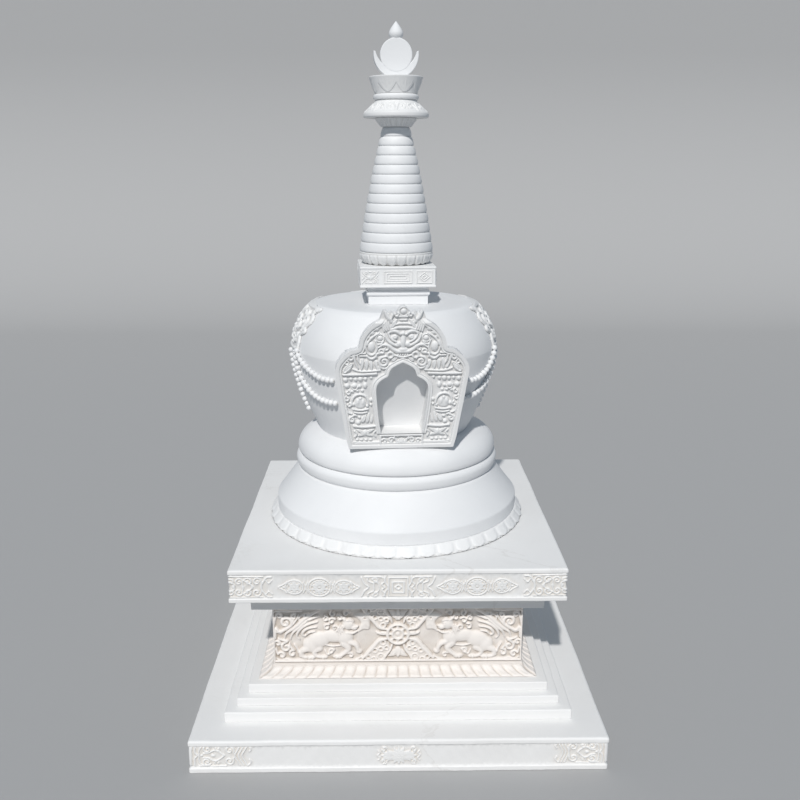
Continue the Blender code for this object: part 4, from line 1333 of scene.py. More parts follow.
def dado_relief():
    half = 0.3605
    f = Relief(-half, half, 0.2095, 0.4005, 0.00150)

    def at(s):
        def p(x, y):
            u, v = seen_on(x, y, -DADO_FACE)
            return (u - HUB[0]) * (1 if s < 0 else -1), v
        return p

    def line(p, pts):
        return [p(x, y) for x, y in pts]

    px = DPX
    for s in (-1, 1):
        p = at(s)

        def curl(x, y, r, start, turns, way, w=1.5, h=11, tail=None, hole=True):
            a = start if s < 0 else math.pi - start
            f.volute(p(x, y), r * px, a, turns, (way > 0) == (s < 0), w * px, h * MM,
                     tail=None if tail is None else line(p, tail))
            if hole:
                f.hole(p(x, y), 0.95 * px, 0.95 * px, 3.5 * MM)

        def st(pts, w, h, kind='round', **kw):
            f.stroke(line(p, pts), (np.array(w) * px).tolist() if hasattr(w, '__len__') else w * px,
                     (np.array(h) * MM).tolist() if hasattr(h, '__len__') else h * MM, kind, **kw)

        def dm(x, y, rx, ry, h, ang=0.0, kind='round', base=0.0):
            f.dome(p(x, y), rx * px, ry * px, h * MM, ang if s < 0 else -ang, kind, base * MM)

        # drifting clouds in the two corners
        curl(284.5, 624.0, 6.2, -0.6, 1.35, 1, 1.9, 10.5, tail=[(274.5, 640), (274.5, 630), (279, 633)])
        curl(277.5, 617.8, 3.4, 2.4, 1.0, -1, 1.4, 8.5, tail=[(272.8, 628), (273.5, 622)])
        curl(292.5, 618.5, 3.4, 1.0, 1.0, 1, 1.3, 8.5, tail=[(285, 632), (290, 626.5)])
        st([(275, 633), (279, 634.5), (284, 631.5), (289, 628.5), (294.5, 622.5), (297, 617)], [1.3, 1.2, 1.2, 1.0], 9)
        curl(276.5, 645.0, 3.8, -2.6, 1.15, -1, 1.5, 9.5, tail=[(273.5, 655), (272.8, 649)])
        curl(285.0, 648.5, 5.0, 1.9, 1.25, 1, 1.7, 10.5, tail=[(277, 640), (281, 641.5), (286, 642.5)])
        curl(280.5, 656.8, 3.9, 2.8, 1.1, -1, 1.5, 10, tail=[(275, 650), (276, 654)])
        curl(291.5, 655.0, 3.8, 1.2, 1.1, 1, 1.4, 10, tail=[(288, 645), (290, 649)])
        curl(299.5, 656.5, 3.4, 2.2, 1.0, -1, 1.3, 9.5, tail=[(293, 646), (296, 650)])
        st([(273.8, 659), (279, 661.2), (286, 660.3), (292, 661.3), (300, 660.6), (308, 661.5)], 1.2, 7)
        st([(272.8, 613), (280, 612.5), (290, 613), (300, 612.6)], 1.4, 8)

        # streaming tail and flank flames
        st([(318, 612.5), (310, 616), (303.5, 620), (297, 626), (290.5, 631), (285, 635), (283.4, 640)], [1.2, 2.3, 2.4, 1.7, 0.7], [8, 11.5, 11, 8])
        st([(317, 618), (309, 620.5), (303, 624), (297, 629.5), (291.5, 634.5), (289.3, 641)], [1.2, 2.2, 2.1, 1.6, 0.6], [8, 11.5, 11, 7.5])
        st([(316, 623.5), (308, 625.2), (302, 628), (297.5, 632.5), (295.5, 637.5), (298.5, 641.3)], [1.1, 2.1, 1.9, 1.4, 0.7], [8, 12, 11, 8])
        st([(315, 629), (308.5, 629.4), (303.5, 631.5), (301.0, 635.4), (303.5, 637.8)], [1.1, 1.9, 1.7, 1.1], [8, 11.5, 9])
        st([(313.5, 633.4), (308, 634.0), (304.8, 637.0)], [1.0, 1.5, 0.8], [8, 10.5, 8])
        f.hole(p(309.2, 627.3), 1.4 * px, 1.0 * px, 4 * MM)
        f.hole(p(307.0, 622.2), 1.2 * px, 0.9 * px, 5 * MM)
        curl(304.5, 616.2, 3.2, 0.4, 1.0, -1, 1.3, 9, tail=[(297.5, 622), (299, 618)])

        # the lion: smooth haunch and barrel, legs, neck, mane of curls
        dm(317.5, 641.5, 13.0, 9.0, 13.0, 0.28)
        dm(309.5, 646.8, 8.0, 9.0, 12.6, 0.5)
        dm(333.0, 637.6, 14.0, 7.6, 12.2, -0.05)
        dm(343.5, 638.8, 8.8, 8.6, 13.6, 0.2)
        st([(306, 650), (300.5, 653), (301.5, 657.6), (308, 659.2)], [4.4, 3.0, 2.4, 2.3], [12, 11, 10.5])
        dm(309.5, 658.9, 5.6, 2.9, 11.5)
        st([(318, 650), (313.0, 653.5), (315.2, 657.5), (320.5, 658.8)], [4.2, 2.6, 2.1, 2.2], [10, 9.5, 9])
        dm(322.3, 658.7, 5.0, 2.6, 10.0)
        st([(343, 645), (347.5, 649.6), (344.0, 654.0), (338.5, 657.6)], [4.6, 3.4, 2.6, 2.3], [13, 12, 11])
        dm(336.8, 658.3, 5.4, 2.8, 11.6)
        st([(349, 643.5), (354.5, 646.0), (357.0, 650.5)], [3.6, 2.8, 2.3], [12.5, 11.5])
        dm(358.0, 652.8, 3.6, 3.1, 11.0)
        for x, y in ((306.8, 660.2), (310.4, 660.4), (320.6, 660), (323.8, 660.1), (334.2, 659.8), (337.4, 660)):
            f.stroke(line(p, [(x, y - 1.8), (x - 0.5, y + 1.2)]), 0.55 * px, 4.0 * MM, 'vee', mode='cut', smooth=0)
        # ribs of fur on the flank
        st([(324, 646.2), (331, 647.6), (339, 647.0)], [0.8, 1.4, 0.8], 8.5)
        for x, y, r, a, w in ((330.8, 622.2, 3.7, 0.5, 1), (338.2, 619.0, 3.6, 2.4, -1), (326.0, 628.2, 3.4, 1.0, 1), (333.8, 629.2, 3.5, -1.0, 1),
                              (324.0, 619.8, 3.2, 1.6, -1), (331.6, 614.8, 3.2, 2.2, 1), (345.0, 614.8, 3.3, 0.2, 1), (340.6, 633.6, 3.0, -1.6, 1)):
            curl(x, y, r, a, 1.15, w, 1.35, 12.5)
        # head: brow, muzzle, jaw, ear, eye
        dm(347.2, 625.8, 6.6, 6.6, 14.2)
        dm(353.0, 628.6, 4.3, 3.6, 13.6, -0.2)
        st([(346.5, 633.6), (351.5, 634.2), (356.0, 632.2)], [1.9, 1.8, 1.1], 12)
        f.stroke(line(p, [(350.5, 631.3), (354.0, 631.6), (357.2, 630.2)]), 0.75 * px, 6 * MM, 'vee', mode='cut')
        st([(345.0, 621.6), (348.6, 620.6), (352.4, 622.6)], [1.0, 1.5, 0.9], [14, 15, 13.5])
        f.ring(p(350.0, 624.8), 1.35 * px, 0.6 * px, 15.0 * MM)
        f.hole(p(350.0, 624.8), 0.75 * px, 0.75 * px, 11.0 * MM)
        dm(356.4, 627.4, 1.5, 1.2, 13.0)
        dm(343.2, 620.4, 2.2, 3.0, 13.2, 0.5)
        for k in range(3):
            st([(343.2 - 2.1 * k, 626.5), (341.6 - 2.1 * k, 630.5), (343.4 - 2.1 * k, 635.4)], [0.8, 1.3, 0.7], [13.5, 12.5])

        # bank of cloud between the lion and the centre
        f.fill(line(p, [(352.5, 617.0), (360, 613.5), (368.5, 616), (369.6, 624), (368.4, 631.2), (362, 631.6), (356.5, 634.6), (357.5, 629), (359.5, 624), (356, 620)]), 8.6 * MM, 3.0 * px, smooth=4)
        curl(363.8, 619.8, 3.4, -0.4, 1.15, 1, 1.25, 10.5)
        st([(360.8, 627.2), (364.6, 625.4), (368.0, 627.0)], 0.9, 9.6)
        curl(330.5, 653.0, 3.4, 0.6, 1.1, 1, 1.3, 8.6, tail=[(324, 652.0), (327.0, 656.0)])
        curl(349.5, 657.0, 3.2, 2.4, 1.0, -1, 1.25, 8.6)
        st([(341, 661), (350, 661.4), (358, 659.6), (361.0, 657.4)], 1.1, 7)

        # arms of the crossed sceptres: two limbs of scrollwork on each side
        for t in (1, -1):
            def q(x, y):
                return p(x, y if t > 0 else 1270 - y)

            def lq(pts):
                return [q(x, y) for x, y in pts]
            f.fill(lq([(388.5, 644), (379.5, 641.5), (371, 649), (361.0, 659.8), (372, 661.5), (384.0, 660.4), (389.0, 653.0)]), 6.2 * MM, 2.0 * px)
            f.stroke(lq([(386.5, 639.6), (378.8, 641.2), (373.2, 647.0), (368.0, 652.8), (361.6, 659.4)]), [1.3 * px, 2.3 * px, 2.5 * px, 2.5 * px, 1.6 * px], 12.5 * MM)
            f.stroke(lq([(391.0, 646.4), (389.4, 651.0), (385.6, 655.6), (382.4, 661.2)]), [1.2 * px, 1.7 * px, 1.5 * px], 11.5 * MM)
            for x, y, r in ((382.3, 643.8, 2.9), (374.0, 651.6, 2.7), (379.9, 650.0, 2.7), (385.6, 648.9, 2.6), (367.6, 658.0, 2.6)):
                f.ring(q(x, y), r * px * 0.88, 1.05 * px, 11.5 * MM)
                f.hole(q(x, y), 1.15 * px, 1.05 * px, 2.0 * MM)
            f.ring(q(380.0, 657.6), 3.3 * px, 1.2 * px, 11.5 * MM)
            f.dome(q(380.0, 657.6), 1.5 * px, 1.5 * px, 9.5 * MM)
            f.ring(q(372.8, 660.2), 2.4 * px, 1.0 * px, 10.5 * MM)
        # side spike
        f.petal(p(387.0, 634.6), math.pi if s < 0 else 0.0, 12.0 * px, 2.3 * px, 11.5 * MM, rim=0.1)
        dm(376.4, 633.8, 2.0, 1.4, 9.0)

    # hub: rim, ring of drilled holes, inner ring and boss
    c = (0.0, HUB[1])
    f.dome(c, 12.6 * px, 12.6 * px, 8.5 * MM, kind='band')
    f.ring(c, 10.6 * px, 1.9 * px, 14.0 * MM)
    f.ring(c, 5.3 * px, 1.35 * px, 14.0 * MM)
    for k in range(8):
        a = k * TAU / 8
        f.stroke([(c[0] + math.cos(a) * r * px, c[1] + math.sin(a) * r * px) for r in (5.4, 10.4)], 1.15 * px, 12.5 * MM, smooth=0)
    for k in range(8):
        a = (k + 0.5) * TAU / 8
        f.hole((c[0] + 7.9 * px * math.cos(a), c[1] + 7.9 * px * math.sin(a)), 1.9 * px, 1.25 * px, 1.5 * MM, ang=a + math.pi / 2)
    f.hole(c, 4.3 * px, 4.3 * px, 6.0 * MM)
    f.dome(c, 3.4 * px, 3.4 * px, 10.5 * MM)
    # lotus between the limbs, above and below
    for t in (1, -1):
        def q(x, y):
            u, v = seen_on(x, y if t > 0 else 1270 - y, -DADO_FACE)
            return u - HUB[0], v
        a = -math.pi / 2 * t
        f.petal(q(397, 648.0), a, 12.8 * px, 3.4 * px, 10.5 * MM)
        for s in (-1, 1):
            f.petal(q(397 + 1.2 * s, 650.5), a + s * t * 0.75, 11.0 * px, 2.5 * px, 9.5 * MM)
            f.petal(q(397 + 1.5 * s, 655.0), a + s * t * 1.22, 9.5 * px, 1.8 * px, 8.0 * MM)

    # plain border left standing round the panel
    for pts, w in (([(-half, 0.2105), (half, 0.2105)], 2.6), ([(-half, 0.3995), (half, 0.3995)], 2.6),
                   ([(-half, 0.2095), (-half, 0.4005)], 3.6), ([(half, 0.2095), (half, 0.4005)], 3.6)):
        f.stroke(pts, w * MM, 12.5 * MM, 'band', smooth=0)
    f.soften(0.0014, 0.35)
    return f


dado = dado_relief()
dado_cav = dado.cavity(0.0062, 0.004, 0.011)
dado_mesh = sheet("dado_carving_front", dado, dado_cav)
reduce(dado_mesh, 39000)
close_back(dado_mesh, lambda x, z: 0.0026)
for k, nm in enumerate(("front", "right", "back", "left")):
    if k:
        ob = bpy.data.objects.new("dado_carving_" + nm, dado_mesh.data.copy())
        bpy.context.scene.collection.objects.link(ob)
for k, nm in enumerate(("front", "right", "back", "left")):
    ob = bpy.data.objects["dado_carving_" + nm]
    wide = 1.0 if k % 2 == 0 else (DADO_HALF - 0.0015) / 0.3605
    # ground 1.5 mm in front of the dado, tops at the CAD panel's face
    ob.data.transform(Matrix.Rotation(k * math.pi / 2, 4, 'Z') @ Matrix.Translation((0, -(DADO_HALF + 0.0016), 0)) @ Matrix.Diagonal((wide, 0.97, 1, 1)))
    settle(ob, CARVED, "dado_relief_" + nm, weighted=False)


# ---------------------------------------------------------------- table slab frieze
def frieze_tools(y_plane, mid_px, mid_py):
    c0 = seen_on(mid_px, mid_py, y_plane)[0]
    px = abs(seen_on(mid_px + 1, mid_py, y_plane)[0] - c0)

    def at(s):
        def p(x, y):
            u, v = seen_on(x, y, y_plane)
            return (u - c0) * (1 if s < 0 else -1), v
        return p
    return at, px


def slab_relief():
    face = SLAB_HALF - LIP
    half = face - 0.0035
    f = Relief(-half, half, 0.4685, 0.5355, 0.00165)
    at, px = frieze_tools(-face, 398.0, 587)
    for s in (-1, 1):
        p = at(s)

        def st(pts, w=0.85, h=3.2, **kw):
            f.stroke([p(x, y) for x, y in pts], w * px, h * MM, **kw)

        def cu(x, y, r, start, turns, way, w=0.85, h=3.2, tail=None):
            a = start if s < 0 else math.pi - start
            f.volute(p(x, y), r * px, a, turns, (way > 0) == (s < 0), w * px, h * MM,
                     tail=None if tail is None else [p(*t) for t in tail])
        # corner bracket: chevron end, paired scrolls, wave bands out to the corner
        st([(270.8, 577.2), (266.2, 577.6), (262.8, 582.2), (260.6, 587.2), (263.2, 592.0), (267.0, 596.4), (271.6, 597.4)], 1.0)
        st([(265.6, 580.6), (268.2, 583.4), (271.6, 580.4)], 0.7)
        st([(266.2, 594.0), (268.6, 591.4), (272.0, 594.2)], 0.7)
        for y0, w in ((581.6, 1), (592.6, -1)):
            cu(256.6, y0, 4.3, 0.2 * w, 1.3, w, tail=[(262.0, 587.0), (261.2, 587.0 + (y0 - 587) * 0.5)])
            cu(247.6, y0 + 0.2 * w, 4.2, math.pi - 0.3 * w, 1.3, -w, tail=[(252.0, 587.2), (250.6, 587.0 + (y0 - 587) * 0.4)])
            cu(238.4, y0 + 0.4 * w, 4.0, 0.4 * w, 1.25, w, tail=[(243.4, 587.2), (242.6, 587.0 + (y0 - 587) * 0.5)])
            cu(230.6, y0 + 0.4 * w, 3.4, math.pi, 1.1, -w, tail=[(234.4, 587.2), (233.8, 587.0 + (y0 - 587) * 0.5)])
            st([(228.4, 587.1 - w * 10.6), (240, 587.1 - w * 10.4), (252, 587.1 - w * 10.4), (262.4, 587.1 - w * 10.2)], 0.75)
        for x in (233.4, 242.8, 252.0):
            f.dome(p(x, 587.1), 1.5 * px, 2.2 * px, 3.0 * MM)
        st([(227.8, 577.4), (227.6, 587), (228.0, 597.2)], 0.8)

        # three medallions on a ribbon
        for x, y, r, n in ((294.0, 587.0, 8.8, 6), (319.0, 587.2, 11.2, 10), (343.4, 587.2, 8.8, 6)):
            c = p(x, y)
            ry = 0.86
            for rr, ww, hh in ((r, 0.85, 3.2), (r * 0.76, 0.6, 2.8)):
                pts = [(c[0] + rr * px * math.cos(a), c[1] + rr * ry * px * math.sin(a)) for a in np.linspace(0, TAU, 40)]
                f.stroke(pts, ww * px, hh * MM, smooth=0)
            for k in range(n):
                a = (k + 0.5) * TAU / n
                f.petal((c[0] + 0.16 * r * px * math.cos(a), c[1] + 0.16 * r * px * math.sin(a)), a, r * 0.56 * px, r * px * (0.20 if n > 6 else 0.27), 3.4 * MM)
            f.dome(c, 1.6 * px, 1.5 * px, 3.6 * MM)
            m = n * 2 if n > 6 else 10
            for k in range(m):
                a = k * TAU / m
                f.dome((c[0] + r * 0.88 * px * math.cos(a), c[1] + r * ry * 0.88 * px * math.sin(a)), 0.55 * px, 0.55 * px, 2.6 * MM)
        for xa, xb in ((303.2, 307.6), (330.6, 334.4)):
            xm = (xa + xb) / 2
            st([(xa, 582.0), (xm, 587.2), (xa, 592.4)], 0.8)
            st([(xb, 582.0), (xm, 587.2), (xb, 592.4)], 0.8)
            f.dome(p(xm, 587.2), 1.1 * px, 1.1 * px, 3.4 * MM)
        for x0, x1 in ((285.4, 277.8), (352.0, 359.4)):
            d = 1 if x1 > x0 else -1
            st([(x0 - d * 1.5, 581.5), (x0 + d * 2.6, 584.8), (x1, 587.2), (x0 + d * 2.6, 589.8), (x0 - d * 1.5, 593.0)], 0.75)
            f.dome(p(x0 + d * 2.3, 587.2), 1.8 * px, 1.2 * px, 3.0 * MM)

        # centre panel: interlaced key-work between scroll ends
        st([(361.0, 597.0), (364.0, 591.0), (368.4, 587.2), (364.0, 583.4), (361.0, 577.2)], 0.95)
        st([(368.0, 576.8), (367.8, 581.0), (373.2, 583.4), (373.4, 587.2), (373.2, 591.0), (367.8, 593.6), (368.0, 597.6)], 0.8)
        for y0, w in ((581.0, 1), (593.4, -1)):
            cu(374.8, y0 - 0.2 * w, 3.4, 2.6 * w, 1.15, -w, tail=[(379.4, 587.2), (378.0, 587.0 + (y0 - 587) * 0.6)])
            st([(364.4, 587.2 - w * 10.4), (374.0, 587.2 - w * 10.4), (382.6, 587.2 - w * 9.8), (384.0, 587.2 - w * 5.6), (381.6, 587.2 - w * 2.8), (384.6, 587.2)], 0.8)
        # squared frames inside one another round a lozenge
        for x, y in ((388.4, 9.6), (392.2, 5.2)):
            st([(398.0, 587.2 - y), (x, 587.2 - y), (x, 587.2 + y), (398.0, 587.2 + y)], 0.85, smooth=0)
        st([(398.0, 584.8), (394.8, 587.2), (398.0, 589.6)], 0.8, smooth=0)
        st([(385.0, 576.6), (385.0, 582.2), (388.0, 587.2), (385.0, 592.2), (385.0, 598.0)], 0.8, smooth=3)
    return f


slab_f = slab_relief()
carved_course("table_slab_stone", SLAB_HALF, SLAB_TOP, SLAB_LOW, 0.5355, 0.4685, slab_f, slab_f.cavity(0.0022, 0.0034, 0.008) * 0.9,
              SLABS, 104000, "table_slab", rc=0.0035, seed=61)


# ---------------------------------------------------------------- base plate fascia
def base_relief():
    face = BASE_HALF - LIP
    half = face - 0.0045
    f = Relief(-half, half, 0.0170, 0.0820, 0.0017)
    at, px = frieze_tools(-face, 398.5, 755)
    for s in (-1, 1):
        p0 = at(s)
        edge = p0(191.0, 755.0)[0]

        def p(x, y):
            u, v = p0(x, y)
            # the scroll on the right-hand end is the shorter of the two
            return (edge + (u - edge) * 48 / 57, v) if s > 0 and x < 300 else (u, v)

        def st(pts, w=0.9, h=3.2, **kw):
            f.stroke([p(x, y) for x, y in pts], w * px, h * MM, **kw)

        def cu(x, y, r, start, turns, way, w=0.95, h=3.4, tail=None):
            a = start if s < 0 else math.pi - start
            f.volute(p(x, y), r * px, a, turns, (way > 0) == (s < 0), w * px, h * MM,
                     tail=None if tail is None else [p(*t) for t in tail])
        # inner end: three chevron bars
        for x in (244.6, 241.0, 237.4):
            st([(x + 2.4, 745.2), (x, 749.4), (x - 2.8, 755.0), (x, 760.8), (x + 2.4, 765.0)], 0.85)
        st([(247.6, 745.0), (250.8, 748.6), (249.0, 751.2)], 0.8)
        st([(247.6, 765.2), (250.8, 761.6), (249.0, 759.0)], 0.8)
        # two stacked spirals
        cu(229.2, 749.8, 4.6, -0.6, 1.5, 1, tail=[(235.0, 756.0), (233.8, 753.0)])
        cu(229.2, 760.6, 4.6, 0.6, 1.5, -1, tail=[(235.0, 754.4), (233.8, 757.4)])
        # connecting waves
        st([(199.0, 745.4), (210.0, 745.0), (222.0, 745.2), (226.0, 745.0)], 0.85)
        st([(199.0, 765.6), (210.0, 766.0), (222.0, 765.6), (226.0, 765.6)], 0.85)
        st([(224.0, 755.2), (219.0, 751.6), (213.6, 750.2), (208.0, 752.8), (203.0, 753.2)], 0.9)
        st([(224.0, 755.2), (219.0, 758.9), (213.6, 760.4), (208.0, 757.8), (203.0, 757.4)], 0.9)
        cu(217.6, 748.4, 2.7, math.pi * 0.9, 1.0, 1, 0.75)
        cu(217.6, 762.4, 2.7, -math.pi * 0.9, 1.0, -1, 0.75)
        f.dome(p(212.8, 755.3), 2.2 * px, 1.7 * px, 3.4 * MM)
        # large scroll at the corner
        cu(206.6, 749.2, 4.4, math.pi * 0.2, 1.4, 1, tail=[(199.2, 757.0), (198.6, 751.0), (202.0, 746.0)])
        cu(206.6, 761.6, 4.4, -math.pi * 0.2, 1.4, -1, tail=[(199.2, 753.6), (198.6, 759.6), (202.0, 764.6)])
        st([(194.6, 745.6), (194.4, 752.0), (197.0, 755.3), (194.4, 758.6), (194.8, 765.2)], 0.95)
        st([(191.0, 746.0), (190.8, 755.0), (191.2, 765.0)], 0.8)
        f.dome(p(201.4, 755.3), 1.6 * px, 1.4 * px, 3.2 * MM)

        # centre rosette: leaves each side of a lotus
        a0 = math.pi if s < 0 else 0.0
        for da, ln, w in ((0.0, 11.5, 2.6), (0.42, 11.0, 2.2), (-0.42, 11.0, 2.2), (0.92, 8.6, 2.0), (-0.92, 8.6, 2.0)):
            f.petal(p(391.5, 755.4), a0 + da, ln * px, w * px, 3.6 * MM)
        cu(382.4, 749.6, 2.6, math.pi * 0.5, 1.1, -1, 0.75, tail=[(388.0, 752.0), (385.4, 747.2)])
        cu(382.4, 761.2, 2.6, -math.pi * 0.5, 1.1, 1, 0.75, tail=[(388.0, 758.6), (385.4, 763.4)])
        st([(377.0, 755.3), (379.6, 752.8), (377.6, 750.6)], 0.7)
        st([(377.0, 755.3), (379.6, 757.8), (377.6, 760.2)], 0.7)
    c = (0.0, seen_on(398.5, 755.4, -face)[1])
    for r, n, w in ((9.6, 12, 2.1), (6.2, 8, 1.9)):
        for k in range(n):
            a = (k + (0.5 if r < 8 else 0)) * TAU / n
            f.petal((c[0] + 1.0 * px * math.cos(a), c[1] + 1.0 * px * math.sin(a)), a, r * px, w * px, (3.2 if r > 8 else 3.9) * MM)
    f.ring(c, 2.4 * px, 0.6 * px, 4.0 * MM)
    f.dome(c, 1.8 * px, 1.8 * px, 3.9 * MM)
    return f


base_f = base_relief()
carved_course("base_plate_stone", BASE_HALF, BASE_TOP, 0.0, 0.0820, 0.0170, base_f, base_f.cavity(0.0022, 0.0034, 0.008) * 0.9,
              SLABS, 74000, "base_plate", rc=0.0045, seed=62, rt=0.007)


# ---------------------------------------------------------------- harmika block
def harmika_relief():
    face = 0.1108 - 0.0016
    half = face - 0.0025
    f = Relief(-half, half, 1.2750, 1.3225, 0.0011)
    mid = 1.29875
    for s in (-1, 1):
        def st(pts, w=1.15, h=2.4, **kw):
            f.stroke([(s * x * MM, mid + z * MM) for x, z in pts], w * MM, h * MM, **kw)
        pass

    def ln(pts, w=1.15, h=2.3, smooth=0):
        f.stroke([(x * MM, mid + z * MM) for x, z in pts], w * MM, h * MM, smooth=smooth)
    # left: a flower lattice between scrolls
    ln([(-104, 17), (-92, 4), (-80, 0), (-68, 4), (-58, 17)], smooth=3)
    ln([(-104, -17), (-92, -4), (-80, 0), (-68, -4), (-58, -17)], smooth=3)
    ln([(-104, 6), (-98, 0), (-104, -6)])
    ln([(-58, 6), (-64, 0), (-58, -6)])
    for a in range(6):
        f.petal((-80 * MM, mid), a * TAU / 6 + TAU / 12, 9.5 * MM, 2.4 * MM, 2.4 * MM)
    f.dome((-80 * MM, mid), 2.6 * MM, 2.6 * MM, 2.8 * MM)
    for k in (-1, 1):
        f.volute((-92 * MM, mid + k * 12 * MM), 4.6 * MM, 0.0, 1.1, k > 0, 1.0 * MM, 2.2 * MM)
        f.volute((-68 * MM, mid + k * 12 * MM), 4.6 * MM, math.pi, 1.1, k < 0, 1.0 * MM, 2.2 * MM)
        ln([(-84, k * 16), (-76, k * 16)])
    # middle: long frames inside one another
    for a, b in ((40, 17), (32, 10.5), (24, 4)):
        ln([(-a, b), (a, b), (a, -b), (-a, -b), (-a, b)])
    # right: two lozenges in a frame
    ln([(54, 17), (98, 17), (98, -17), (54, -17), (54, 17)])
    ln([(76, 12.5), (92, 0), (76, -12.5), (60, 0), (76, 12.5)])
    ln([(76, 5.5), (83, 0), (76, -5.5), (69, 0), (76, 5.5)])
    return f


harm_f = harmika_relief()
harm_ob = carved_course("harmika_block_stone", 0.1108, 1.3290, 1.2688, 1.3225, 1.2750, harm_f, harm_f.cavity(0.0018, 0.0024, 0.005) * 0.9,
              FRAMED, 34000, "harmika_block", rc=0.0025, turn=TURN, seed=63, lip=0.0016, rt=0.003, rb=0.002)
harm_ob.data.transform(Matrix.Translation((-0.0022, 0, 0)))


# ---------------------------------------------------------------- niche frame
FRAME_GROUND = 0.3235
frame_half = [(0.1490, 0.8315), (0.1520, 0.8450), (0.1572, 0.8680), (0.1620, 0.9050), (0.1662, 0.9350), (0.1725, 0.9770), (0.1780, 1.0220),
              (0.1822, 1.0520), (0.1836, 1.0660), (0.1825, 1.0780), (0.1785, 1.0900), (0.1712, 1.1010), (0.1640, 1.1100), (0.1560, 1.1175),
              (0.1465, 1.1245), (0.1380, 1.1295), (0.1290, 1.1300), (0.1210, 1.1335), (0.1185, 1.1400), (0.1175, 1.1475), (0.1150, 1.1580), (0.1112, 1.1670),
              (0.1055, 1.1770), (0.0990, 1.1855), (0.0920, 1.1930), (0.0845, 1.1988), (0.0775, 1.2035), (0.0710, 1.2072), (0.0655, 1.2105),
              (0.0620, 1.2150), (0.0595, 1.2215), (0.0570, 1.2290), (0.0535, 1.2355), (0.0490, 1.2390), (0.0462, 1.2360), (0.0440, 1.2300), (0.0395, 1.2280),
              (0.0350, 1.2325), (0.0310, 1.2340), (0.0275, 1.2300), (0.0235, 1.2280), (0.0190, 1.2325), (0.0150, 1.2380), (0.0110, 1.2440), (0.0060, 1.2485), (0.0, 1.2500)]
frame_outline = np.array(mirrored(frame_half))


def on_frame(px, py):
    """(across from the frame's axis, height) on its leaning face of what a place in the 800 x 800 view shows."""
    d = FWD + RIGHT * ((px - 400) / F_PX) - UP * ((py - 400) / F_PX)
    r = Matrix.Rotation(-TURN, 3, 'Z')
    o, d = r @ (EYE - Vector((VASE_SHIFT, 0, 0))), r @ d
    t = (-0.333 - FRAME_LEAN * (o.z - FRAME_Z) - o.y) / (d.y + FRAME_LEAN * d.z)
    q = o + t * d
    return q.x - FRAME_X, q.z


